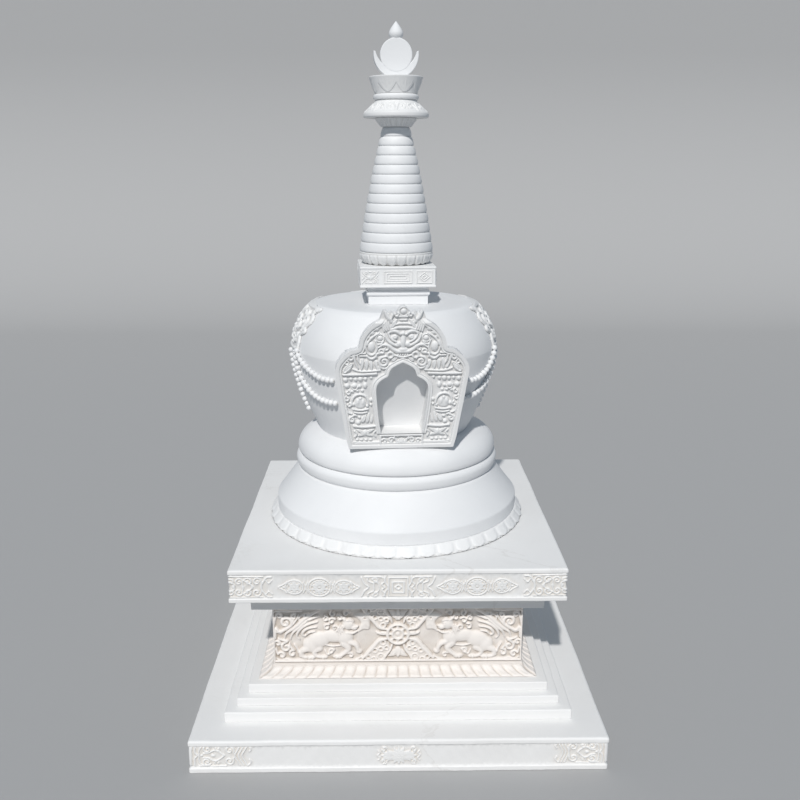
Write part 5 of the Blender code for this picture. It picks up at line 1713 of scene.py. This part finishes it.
def frame_relief():
    f = Relief(-0.1855, 0.1855, 0.8305, 1.2510, 0.00125)
    U, V = np.meshgrid(f.u, f.v, indexing='ij')
    d_out = to_outline(frame_outline, U, V)[0]
    d_open = to_outline(opening, U, V)[0]
    top_free = np.clip((V - 1.205) / 0.012, 0, 1)       # no rim across the flames at the top

    def band(d, a, b, h, e=0.0018):
        x = np.clip(np.minimum(d - a, b - d) / e, 0, 1)
        return h * np.sqrt(np.maximum(0, 1 - (1 - x) ** 2))
    rim = np.maximum(band(d_out, -1, 0.0118, 10.8 * MM, 0.0024), band(d_out, 0.0136, 0.0172, 8.8 * MM, 0.0018))
    rim = np.maximum(rim, np.where(d_out < 0.0160, 5.5 * MM, 0))
    rim *= 1 - top_free
    mould = np.maximum(band(d_open, -1, 0.0062, 9.6 * MM), band(d_open, 0.0076, 0.0125, 8.2 * MM, 0.0020))
    mould = np.maximum(mould, np.where(d_open < 0.0120, 5.5 * MM, 0))
    mould = np.where(V < 0.8765, 0, mould)
    f.h = np.maximum(f.h, np.maximum(rim, mould))
    px = on_frame(404.0, 380.0)[0] - on_frame(403.0, 380.0)[0]

    for s in (-1, 1):
        def p(x, y):
            u, v = on_frame(x, y)
            return (u if s < 0 else -u), v

        def st(pts, w, h, kind='round', **kw):
            f.stroke([p(x, y) for x, y in pts], (np.array(w) * px).tolist() if hasattr(w, '__len__') else w * px,
                     (np.array(h) * MM).tolist() if hasattr(h, '__len__') else h * MM, kind, **kw)

        def dm(x, y, rx, ry, h, ang=0.0, kind='round'):
            f.dome(p(x, y), rx * px, ry * px, h * MM, ang if s < 0 else -ang, kind)

        def rg(x, y, r, w, h):
            f.ring(p(x, y), r * px, w * px, h * MM)

        def ho(x, y, rx, ry, level):
            f.hole(p(x, y), rx * px, ry * px, level * MM)

        def cu(x, y, r, start, turns, way, w=1.2, h=9.5, tail=None, hole=True):
            a = start if s < 0 else math.pi - start
            f.volute(p(x, y), r * px, a, turns, (way > 0) == (s < 0), w * px, h * MM,
                     tail=None if tail is None else [p(*t) for t in tail])
            if hole:
                ho(x, y, 0.8, 0.8, 2.5)

        def pe(x, y, x2, y2, w, h, **kw):
            (u0, v0), (u1, v1) = p(x, y), p(x2, y2)
            f.petal((u0, v0), math.atan2(v1 - v0, u1 - u0), math.hypot(u1 - u0, v1 - v0), w * px, h * MM, **kw)

        # ---- arch, left shoulder upward: bud in a cup, pearls, leaves
        dm(371.3, 347.4, 3.9, 5.4, 10.6)
        st([(366.6, 341.5), (365.8, 347.5), (367.6, 353.4), (371.6, 355.4), (375.8, 353.0), (377.4, 347.0), (375.6, 341.0)], 0.95, 8.6)
        st([(379.0, 333.6), (373.2, 337.0), (369.2, 341.0), (366.8, 345.6)], [0.8, 1.3, 1.0], 9.4)
        dm(380.2, 338.6, 2.9, 2.9, 10.4)
        rg(380.2, 338.6, 3.9, 0.7, 7.4)
        st([(366.8, 356.4), (370.6, 359.2), (374.6, 358.0), (377.8, 353.8)], [1.0, 1.5, 0.9], 9.4)
        pe(362.6, 358.8, 361.4, 371.2, 1.9, 9.2)
        pe(366.6, 360.2, 366.4, 371.6, 1.9, 9.2)
        pe(370.8, 361.0, 371.6, 371.8, 1.9, 9.2)
        pe(375.4, 360.6, 377.6, 370.8, 1.8, 8.6)
        for y in (353.8, 356.4):
            st([(359.6, y), (362.6, y + 0.2), (365.4, y)], 0.75, 8.6)
        # ring volutes beside the mouth
        rg(390.4, 355.4, 2.9, 1.25, 10.2)
        ho(390.4, 355.4, 1.3, 1.3, 2.5)
        cu(384.0, 362.2, 5.2, 2.0, 1.45, 1, 1.5, 10, tail=[(389.5, 359.6), (387.2, 356.8)])
        st([(379.2, 364.8), (381.6, 368.2), (386.2, 368.6), (389.4, 365.2)], [0.8, 1.3, 0.9], 8.6)
        cu(381.0, 352.0, 3.0, -0.4, 1.1, 1, 1.1, 9.2, tail=[(377.0, 358.0), (376.6, 354.4)])
        cu(386.2, 348.9, 2.4, 0.8, 1.0, -1, 1.0, 9.0)
        pe(391.6, 361.4, 397.8, 357.6, 1.7, 9.0)
        pe(379.6, 371.4, 379.0, 364.6, 1.5, 8.0)
        # upper lip sweeping out into a horn of feathers
        st([(403.0, 351.6), (398.0, 351.8), (393.2, 349.6), (388.6, 346.0), (383.2, 345.2), (378.4, 348.2)], [2.2, 2.3, 2.0, 1.6, 0.8], [11.5, 11.2, 10.5, 9.2])
        st([(398.0, 346.4), (392.6, 344.2), (387.6, 340.4), (385.0, 334.6)], [1.0, 1.8, 1.5, 0.7], [10, 10.6, 8.8])
        st([(396.8, 342.2), (392.8, 340.2), (389.6, 336.6), (388.4, 332.4)], [0.9, 1.5, 1.2, 0.6], [10, 10.2, 8.6])
        st([(383.4, 341.6), (381.4, 344.2), (377.6, 344.8)], [0.8, 1.2, 0.7], 8.8)
        # brow, eye, cheek
        dm(395.0, 337.4, 3.2, 2.8, 11.6)
        ho(394.8, 337.2, 0.8, 0.8, 8.0)
        st([(400.6, 334.6), (396.6, 331.8), (391.8, 331.6), (388.2, 334.0)], [1.2, 1.9, 1.6, 0.8], [12.2, 11.6, 9.6])
        dm(398.6, 344.6, 3.0, 3.2, 11.0)
        # headband and rising locks
        st([(403, 327.8), (398.6, 327.8), (394.4, 328.8), (390.8, 330.0)], [1.5, 1.4, 1.0], 11.2)
        st([(403, 323.6), (399.4, 323.8), (396.0, 324.8)], [1.2, 1.1, 0.8], 10.6)
        st([(403, 320.0), (400.4, 320.0)], 1.1, 10.0)
        pe(391.4, 327.8, 397.6, 319.4, 1.9, 10.2)
        for k in range(4):
            st([(391.0 - 2.2 * k, 329.6 + 0.7 * k), (389.0 - 2.0 * k, 324.4 + 0.6 * k), (388.8 - 1.7 * k, 319.2 + 1.4 * k)], [1.0, 1.2, 0.5], [9.8, 9.4, 8.0])
        st([(391.6, 322.0), (387.8, 317.4), (385.6, 313.2), (384.4, 310.0)], [1.9, 2.2, 1.6, 0.8], [10.4, 9.6, 8.2])
        cu(396.4, 315.0, 2.8, 2.6, 1.1, -1, 1.2, 10.0, tail=[(391.4, 320.2), (392.4, 316.4)])
        st([(403.0, 317.0), (399.8, 316.8)], 1.2, 10.0)
        # filler between the locks and the rim
        dm(377.4, 329.4, 2.6, 2.0, 9.2, 0.6)
        dm(372.6, 333.4, 2.4, 2.0, 9.0, 0.6)
        dm(382.0, 325.0, 2.0, 2.2, 8.6)
        dm(376.8, 334.6, 1.3, 1.3, 8.4)
        dm(368.8, 337.4, 1.8, 1.5, 8.6, 0.7)

        # ---- shoulder
        st([(352.0, 364.4), (347.6, 368.4), (344.8, 371.8)], [1.0, 2.8, 2.2], 9.4, 'hollow')
        pe(346.2, 371.8, 353.0, 364.6, 2.1, 10.2)
        st([(354.4, 351.8), (354.6, 357.4), (355.6, 363.4), (358.2, 368.6)], [0.9, 1.2, 1.0], 9.2)
        cu(350.4, 358.2, 3.1, 0.6, 1.2, -1, 1.15, 9.2, tail=[(353.6, 350.4), (352.6, 354.4)])
        cu(346.4, 363.6, 2.5, 1.4, 1.1, -1, 1.0, 8.8)
        st([(357.4, 355.6), (358.2, 360.4), (360.2, 364.2)], [0.9, 1.3, 0.9], 9.0)
        dm(357.4, 350.6, 1.8, 1.8, 9.2)
        dm(361.2, 349.2, 1.7, 1.9, 8.8)
        dm(362.6, 344.8, 1.5, 1.8, 8.6)
        st([(352.6, 369.4), (356.4, 370.8), (361.0, 371.8)], 0.9, 8.2)
        # capital
        st([(343.4, 375.2), (352.0, 375.2), (364.0, 374.8), (376.4, 374.0)], 1.15, 9.8, 'band')
        st([(361.0, 371.9), (370.0, 371.6), (380.4, 370.6)], 0.9, 8.8)

        # ---- jamb: pearls and cloud scrolls
        for x, y, rx, ry, h in ((345.6, 380.2, 2.5, 2.5, 9.6), (350.9, 379.4, 1.9, 1.9, 8.8), (355.6, 379.8, 2.0, 2.2, 9.2), (360.4, 379.4, 2.6, 2.6, 9.8),
                                (365.4, 379.2, 1.9, 2.0, 9.0), (347.0, 386.4, 2.8, 2.6, 9.6), (354.6, 386.2, 3.0, 2.6, 10.0), (365.2, 386.0, 2.2, 3.2, 9.4),
                                (359.8, 386.6, 1.8, 1.8, 8.6), (371.2, 378.2, 1.5, 1.5, 8.4), (352.6, 391.8, 1.7, 1.5, 8.2), (357.4, 391.2, 1.8, 1.4, 8.2),
                                (362.2, 391.0, 1.7, 1.4, 8.2)):
            dm(x, y, rx, ry, h)
        st([(351.6, 386.0), (352.6, 389.4), (356.0, 390.0), (358.2, 387.0)], 0.8, 8.0)
        cu(348.0, 393.0, 2.7, 1.2, 1.15, -1, 1.05, 8.8)
        cu(347.4, 399.2, 2.7, 2.2, 1.15, 1, 1.05, 8.8)
        cu(349.0, 405.4, 2.4, 1.2, 1.1, -1, 1.0, 8.6)
        st([(346.4, 409.4), (348.4, 412.8), (352.0, 414.4)], [0.8, 1.2, 0.8], 8.6)
        # haloed figure boss: a bud with two lobes on a banded seat
        st([(351.8, 405.4), (352.4, 400.0), (355.2, 396.2), (360.0, 394.8), (364.8, 396.2), (367.6, 400.0), (368.4, 404.6)], 1.05, 9.2)
        dm(360.2, 403.8, 6.0, 6.0, 7.4, kind='band')
        dm(357.6, 402.8, 2.5, 4.4, 10.8)
        dm(363.0, 402.9, 2.2, 4.2, 10.6)
        dm(360.3, 398.9, 1.9, 1.9, 10.8)
        dm(353.6, 404.8, 1.5, 2.2, 9.0)
        dm(367.4, 406.4, 1.7, 2.0, 9.0)
        st([(353.0, 409.6), (360.4, 410.6), (368.0, 409.4)], 1.15, 9.8)
        st([(354.4, 412.8), (360.4, 413.6), (366.8, 412.6)], 0.95, 8.6)
        dm(371.0, 400.4, 1.6, 2.2, 8.8)
        dm(371.0, 405.2, 1.2, 1.6, 8.0)
        # scrolls under the seat
        cu(352.2, 420.0, 3.2, 1.6, 1.2, 1, 1.25, 9.6, tail=[(356.8, 416.2), (354.6, 415.4)])
        dm(358.2, 423.0, 2.6, 2.4, 9.8)
        pe(361.4, 422.6, 366.4, 414.8, 2.2, 9.8)
        pe(366.6, 423.2, 369.6, 413.6, 1.7, 9.2)
        pe(371.0, 423.4, 372.8, 415.2, 1.3, 8.6)
        dm(359.6, 417.6, 1.9, 1.6, 9.0)
        # seat block with leaves, feet and foot lines
        st([(354.0, 426.6), (364.0, 427.4), (375.6, 426.2)], 1.3, 10.0)
        dm(365.2, 433.0, 2.6, 3.6, 10.2)
        for x, y, w in ((355.8, 429.8, 1.5), (357.6, 436.8, 1.5), (374.6, 429.4, 1.5), (373.4, 436.4, 1.5)):
            pe(365.0, 433.6, x, y, w, 9.4)
        st([(354.6, 431.6), (357.0, 434.2), (354.8, 437.6)], 0.8, 8.4)
        st([(376.0, 431.2), (373.8, 433.8), (375.8, 437.2)], 0.8, 8.4)
        for x in (357.2, 361.6, 366.2, 370.8):
            dm(x, 440.2, 1.9, 1.3, 9.0)
        st([(353.6, 442.6), (366.0, 442.8), (381.0, 442.2)], 0.95, 9.2)

        # ---- panel under the sill: lotus between scrolls
        cu(391.4, 440.4, 3.2, 0.4, 1.25, 1, 1.1, 9.2, tail=[(398.2, 436.6), (394.8, 436.0)])
        cu(384.6, 441.2, 2.6, 2.8, 1.15, -1, 1.0, 9.0)
        pe(398.2, 444.0, 395.0, 437.4, 1.4, 9.0)

    # centre line forms
    def pc(x, y):
        return 0.0, on_frame(x, y)[1]
    f.dome(pc(403, 342.6), 3.0 * px, 8.0 * px, 11.6 * MM)
    f.dome(pc(403, 350.0), 5.4 * px, 3.2 * px, 12.0 * MM)
    f.dome(pc(403, 311.6), 3.4 * px, 3.4 * px, 10.8 * MM)
    f.ring(pc(403, 311.6), 4.4 * px, 0.8 * px, 8.0 * MM)
    f.dome(pc(403, 333.6), 2.2 * px, 2.2 * px, 11.2 * MM)
    f.stroke([(-8.2 * px, pc(403, 355.4)[1]), (0, pc(403, 357.4)[1]), (8.2 * px, pc(403, 355.4)[1])], 1.15 * px, 9.8 * MM)
    for k in range(-2, 3):
        f.dome((k * 2.3 * px, pc(403, 355.0)[1]), 0.95 * px, 1.3 * px, 10.2 * MM)
    c = pc(402, 440.6)
    for k in range(7):
        a = math.pi * (k / 6)
        f.petal((c[0], c[1] - 2.6 * px), a, 5.8 * px, 1.3 * px, 9.4 * MM)
    f.dome((c[0], c[1] - 1.4 * px), 2.0 * px, 1.8 * px, 9.8 * MM)
    # the face and the flames stand lower than the rims
    low = 1 - 0.30 * np.clip((V - 1.150) / 0.05, 0, 1) ** 0.8
    inner = np.clip((d_out - 0.012) / 0.006, 0, 1)
    f.h = np.where(mould > 0, f.h, f.h * (1 - inner * (1 - low)))
    # panel border
    zt, zb = on_frame(402, 435.4)[1], 0.8345
    zf = on_frame(402, 445.0)[1]
    for pts in ([(-0.0595, zt), (0.0595, zt)], [(-0.141, zf), (-0.0595, zf)], [(0.0595, zf), (0.141, zf)], [(-0.0595, zb), (-0.0595, zt)], [(0.0595, zb), (0.0595, zt)]):
        f.stroke(pts, 1.0 * px, 9.6 * MM, 'band', smooth=0)
    f.soften(0.0013, 0.30)
    MU, MV = np.meshgrid((f.u[:-1] + f.u[1:]) / 2, (f.v[:-1] + f.v[1:]) / 2, indexing='ij')
    return f, to_outline(frame_outline, MU, MV)[3] & ~to_outline(opening, MU, MV)[3]


frame_f, frame_keep = frame_relief()
frame_f.h = frame_f.h * 0.78 + 2.2 * MM
frame_cav = frame_f.cavity(0.0046, 0.0036, 0.010) * 0.62
ob = sheet("niche_frame_carving", frame_f, frame_cav, keep=frame_keep, outline=frame_outline, holes=(opening,))
lean = Matrix.Translation((FRAME_X, -FRAME_GROUND + FRAME_LEAN * FRAME_Z, 0))
lean[1][2] = -FRAME_LEAN
ob.data.transform(lean)
reduce(ob, 78000)


def frame_back(x, z):
    if abs(x - FRAME_X) < 0.09 and 0.870 < z < 1.100:
        return niche_back(z) + 0.0012
    wall = -math.sqrt(max(0.03, float(vase_r(max(z, 0.84))) ** 2 - x * x)) + 0.0015
    if z > 1.2155:
        return -0.292 - FRAME_LEAN * (z - FRAME_Z)
    return min(wall, -0.292 - FRAME_LEAN * (z - FRAME_Z)) if z > 1.121 else wall


close_back(ob, frame_back, opening + np.array([FRAME_X, 0.0]))
upper(ob)
settle(ob, FRAMED, "niche_frame", weighted=False, sharp=70)


# ---------------------------------------------------------------- mask plaques on the shoulder
plaque_half = [(0.060, 1.0860), (0.095, 1.0865), (0.1090, 1.0880), (0.1165, 1.0950), (0.1170, 1.1120), (0.1120, 1.1250), (0.1085, 1.1310),
               (0.1160, 1.1350), (0.1260, 1.1390), (0.1290, 1.1450), (0.1250, 1.1515), (0.1190, 1.1555), (0.1240, 1.1610), (0.1295, 1.1680),
               (0.1300, 1.1780), (0.1240, 1.1870), (0.1150, 1.1925), (0.1180, 1.1980), (0.1270, 1.2030), (0.1290, 1.2085), (0.1220, 1.2125), (0.0900, 1.2130), (0.0, 1.2130)]
plaque_outline = np.array(mirrored(plaque_half))


def plaque_relief():
    f = Relief(-0.1315, 0.1315, 1.0850, 1.2140, 0.00135)
    U, V = np.meshgrid(f.u, f.v, indexing='ij')
    d, _, _, ins = to_outline(plaque_outline, U, V)
    f.h = np.where(ins, 1.8 * MM + 5.6 * MM * np.sqrt(np.maximum(0, 1 - (1 - np.clip(d / 0.004, 0, 1)) ** 2)) * (d < 0.0085), 0)
    for s in (-1, 1):
        def P(x, z):
            return s * x * MM, (1150 + z * 0.88) * MM

        def st(pts, w, h, kind='round', **kw):
            f.stroke([P(x, z) for x, z in pts], (np.array(w) * MM).tolist() if hasattr(w, '__len__') else w * MM,
                     (np.array(h) * MM).tolist() if hasattr(h, '__len__') else h * MM, kind, **kw)

        def cu(x, z, r, start, turns, way, w=3.0, h=10, tail=None):
            a = start if s > 0 else math.pi - start
            f.volute(P(x, z), r * MM, a, turns, (way > 0) == (s > 0), w * MM, h * MM, tail=None if tail is None else [P(*t) for t in tail])
            f.hole(P(x, z), 2.2 * MM, 2.2 * MM, 3 * MM)
        # brow, eye, cheek, upper lip, fang
        f.dome(P(22, 12), 9.5 * MM, 8.5 * MM, 12.5 * MM)
        f.hole(P(22, 12), 2.6 * MM, 2.6 * MM, 7.5 * MM)
        st([(4, 18), (14, 27), (28, 28), (42, 18)], [4, 5.5, 5, 2.5], [13, 12.6, 10])
        f.dome(P(24, -10), 13 * MM, 9 * MM, 11.5 * MM)
        st([(0, -19), (14, -23), (30, -25), (46, -18), (54, -4)], [4.5, 4.5, 4, 3], [12, 11, 10])
        st([(18, -26), (19, -34), (15, -40)], [3.4, 2.6, 1.2], 10)
        st([(0, -36), (12, -38), (26, -42), (44, -40)], [3, 3.2, 2.6, 2.0], 9.6)
        # horns and locks
        st([(20, 36), (34, 46), (48, 48), (58, 40)], [4.6, 4.2, 3.2, 1.6], [11.5, 9.5])
        st([(6, 40), (8, 52), (4, 64)], [3.6, 3.4, 1.6], [11.5, 9.5])
        st([(16, 44), (22, 54), (20, 62)], [3.2, 2.8, 1.4], [11, 9])
        # side volutes
        cu(60, 2, 13, 2.6, 1.4, -1, 3.6, 11, tail=[(46, -30), (44, -14)])
        cu(96, 22, 13.5, -0.6, 1.45, 1, 3.6, 11, tail=[(72, -10), (86, 0), (104, 4)])
        cu(84, -24, 11.5, 0.8, 1.35, -1, 3.4, 10.5, tail=[(60, -40), (72, -42), (88, -42)])
        cu(74, 44, 10.5, -0.4, 1.3, 1, 3.2, 10.5, tail=[(52, 26), (62, 26), (78, 28)])
        cu(106, -4, 7.5, 0.2, 1.1, 1, 2.8, 9.5)
        cu(112, 56, 8.5, 2.2, 1.15, -1, 3.0, 9.5, tail=[(94, 40), (104, 44), (116, 46)])
        f.petal(P(46, 52), math.pi / 2 - s * 0.5, 14 * MM, 4 * MM, 9 * MM)
        f.dome(P(52, 20), 4.5 * MM, 4.5 * MM, 10 * MM)
        f.dome(P(66, -50), 4 * MM, 3.4 * MM, 8.5 * MM)
        f.dome(P(40, -52), 4.6 * MM, 3.6 * MM, 8.5 * MM)
    f.dome((0, 1.1606), 6.5 * MM, 13 * MM, 12 * MM)
    f.dome((0, 1.1447), 11 * MM, 6 * MM, 12.2 * MM)
    f.dome((0, 1.1834), 6.5 * MM, 6.0 * MM, 11 * MM)
    f.dome((0, 1.2030), 5.5 * MM, 6 * MM, 9.5 * MM)
    f.stroke([(-0.100, 1.0935), (0, 1.0920), (0.100, 1.0935)], 2.8 * MM, 7.5 * MM)
    f.soften(0.0013, 0.25)
    f.h = np.minimum(f.h, 12.5 * MM) * 0.86
    MU, MV = np.meshgrid((f.u[:-1] + f.u[1:]) / 2, (f.v[:-1] + f.v[1:]) / 2, indexing='ij')
    return f, to_outline(plaque_outline, MU, MV)[3]


def bend_on_vase(co):
    """Lay a flat relief (x along, -y out, z up) on the face of the vase."""
    x, out, z = co[:, 0], 0.0007 - co[:, 1], co[:, 2]
    d = (vase_r(z + 0.002) - vase_r(z - 0.002)) / 0.004
    nx = 1 / np.hypot(1, d)
    rr = vase_r(z) + out * nx
    a = np.arcsin(np.clip(x / rr, -1, 1))
    return np.stack([rr * np.sin(a), -rr * np.cos(a), z - out * nx * d], 1)


plaque_f, plaque_keep = plaque_relief()
plaque_cav = plaque_f.cavity(0.0046, 0.0034, 0.009)
flat = sheet("mask_plaque_flat", plaque_f, plaque_cav, keep=plaque_keep, outline=plaque_outline)
reduce(flat, 23000)
close_back(flat, lambda x, z: 0.0)
flat_co = np.zeros(len(flat.data.vertices) * 3, np.float32)
flat.data.vertices.foreach_get("co", flat_co)
flat.data.vertices.foreach_set("co", bend_on_vase(flat_co.reshape(-1, 3).astype(float)).astype(np.float32).ravel())
for nm, ang in (("left", -90), ("right", 90), ("back", 180)):
    ob = bpy.data.objects.new("mask_plaque_carving_" + nm, flat.data.copy())
    bpy.context.scene.collection.objects.link(ob)
    ob.data.transform(Matrix.Rotation(math.radians(ang), 4, 'Z'))
    upper(ob)
    settle(ob, FRAMED, "mask_plaque_" + nm, weighted=False)
bpy.data.objects.remove(flat, do_unlink=True)


# ---------------------------------------------------------------- stones that keep their CAD shape
for nm, ob in frame["nodes"].items():
    if not ob.hide_render:
        mat = FRAMED if ("relief" in nm or "frame" in nm or "plaque" in nm or "block" in nm) else SLABS
        ob.data.materials.clear()
        ob.data.materials.append(mat)

# ---------------------------------------------------------------- floor, light
floor_mat = bpy.data.materials.new("studio_floor")
floor_mat.use_nodes = True
fb = floor_mat.node_tree.nodes["Principled BSDF"]
fb.inputs["Base Color"].default_value = (0.42, 0.42, 0.42, 1)
fb.inputs["Roughness"].default_value = 0.85
fb.inputs["Specular IOR Level"].default_value = 0.15


def studio():
    """Pale floor that sweeps up into a backdrop far behind."""
    half, back, rise, r = 14.0, 9.0, 9.0, 3.0
    line = [(-14.0, 0.0), (back - r, 0.0)]
    for i in range(1, 17):
        a = i / 16 * math.pi / 2
        line.append((back - r + r * math.sin(a), r - r * math.cos(a)))
    line.append((back, rise))
    co = [(x, y, z) for y, z in line for x in (-half, half)]
    faces = [[2 * i, 2 * i + 1, 2 * i + 3, 2 * i + 2] for i in range(len(line) - 1)]
    ob = build("studio_floor", co, faces)
    ob.data.shade_smooth()
    ob.data.materials.append(floor_mat)


studio()

world = bpy.data.worlds.new("studio_fill")
bpy.context.scene.world = world
world.use_nodes = True
bg = world.node_tree.nodes["Background"]
bg.inputs["Color"].default_value = (0.63, 0.80, 1.0, 1)
bg.inputs["Strength"].default_value = 0.285

key_data = bpy.data.lights.new("key", 'SUN')
key = bpy.data.objects.new("key", key_data)
bpy.context.scene.collection.objects.link(key)
key.matrix_world = Vector((0.2, 1.05, -1.0)).normalized().to_track_quat('-Z', 'Y').to_matrix().to_4x4()
key_data.energy = 2.80
key_data.angle = math.radians(1.6)
key_data.color = (1.0, 0.978, 0.952)

bpy.context.scene.view_settings.view_transform = 'Standard'
bpy.context.scene.view_settings.look = 'None'
bpy.context.scene.view_settings.exposure = 0.0
bpy.context.scene.view_settings.gamma = 1.0

bpy.context.view_layer.update()
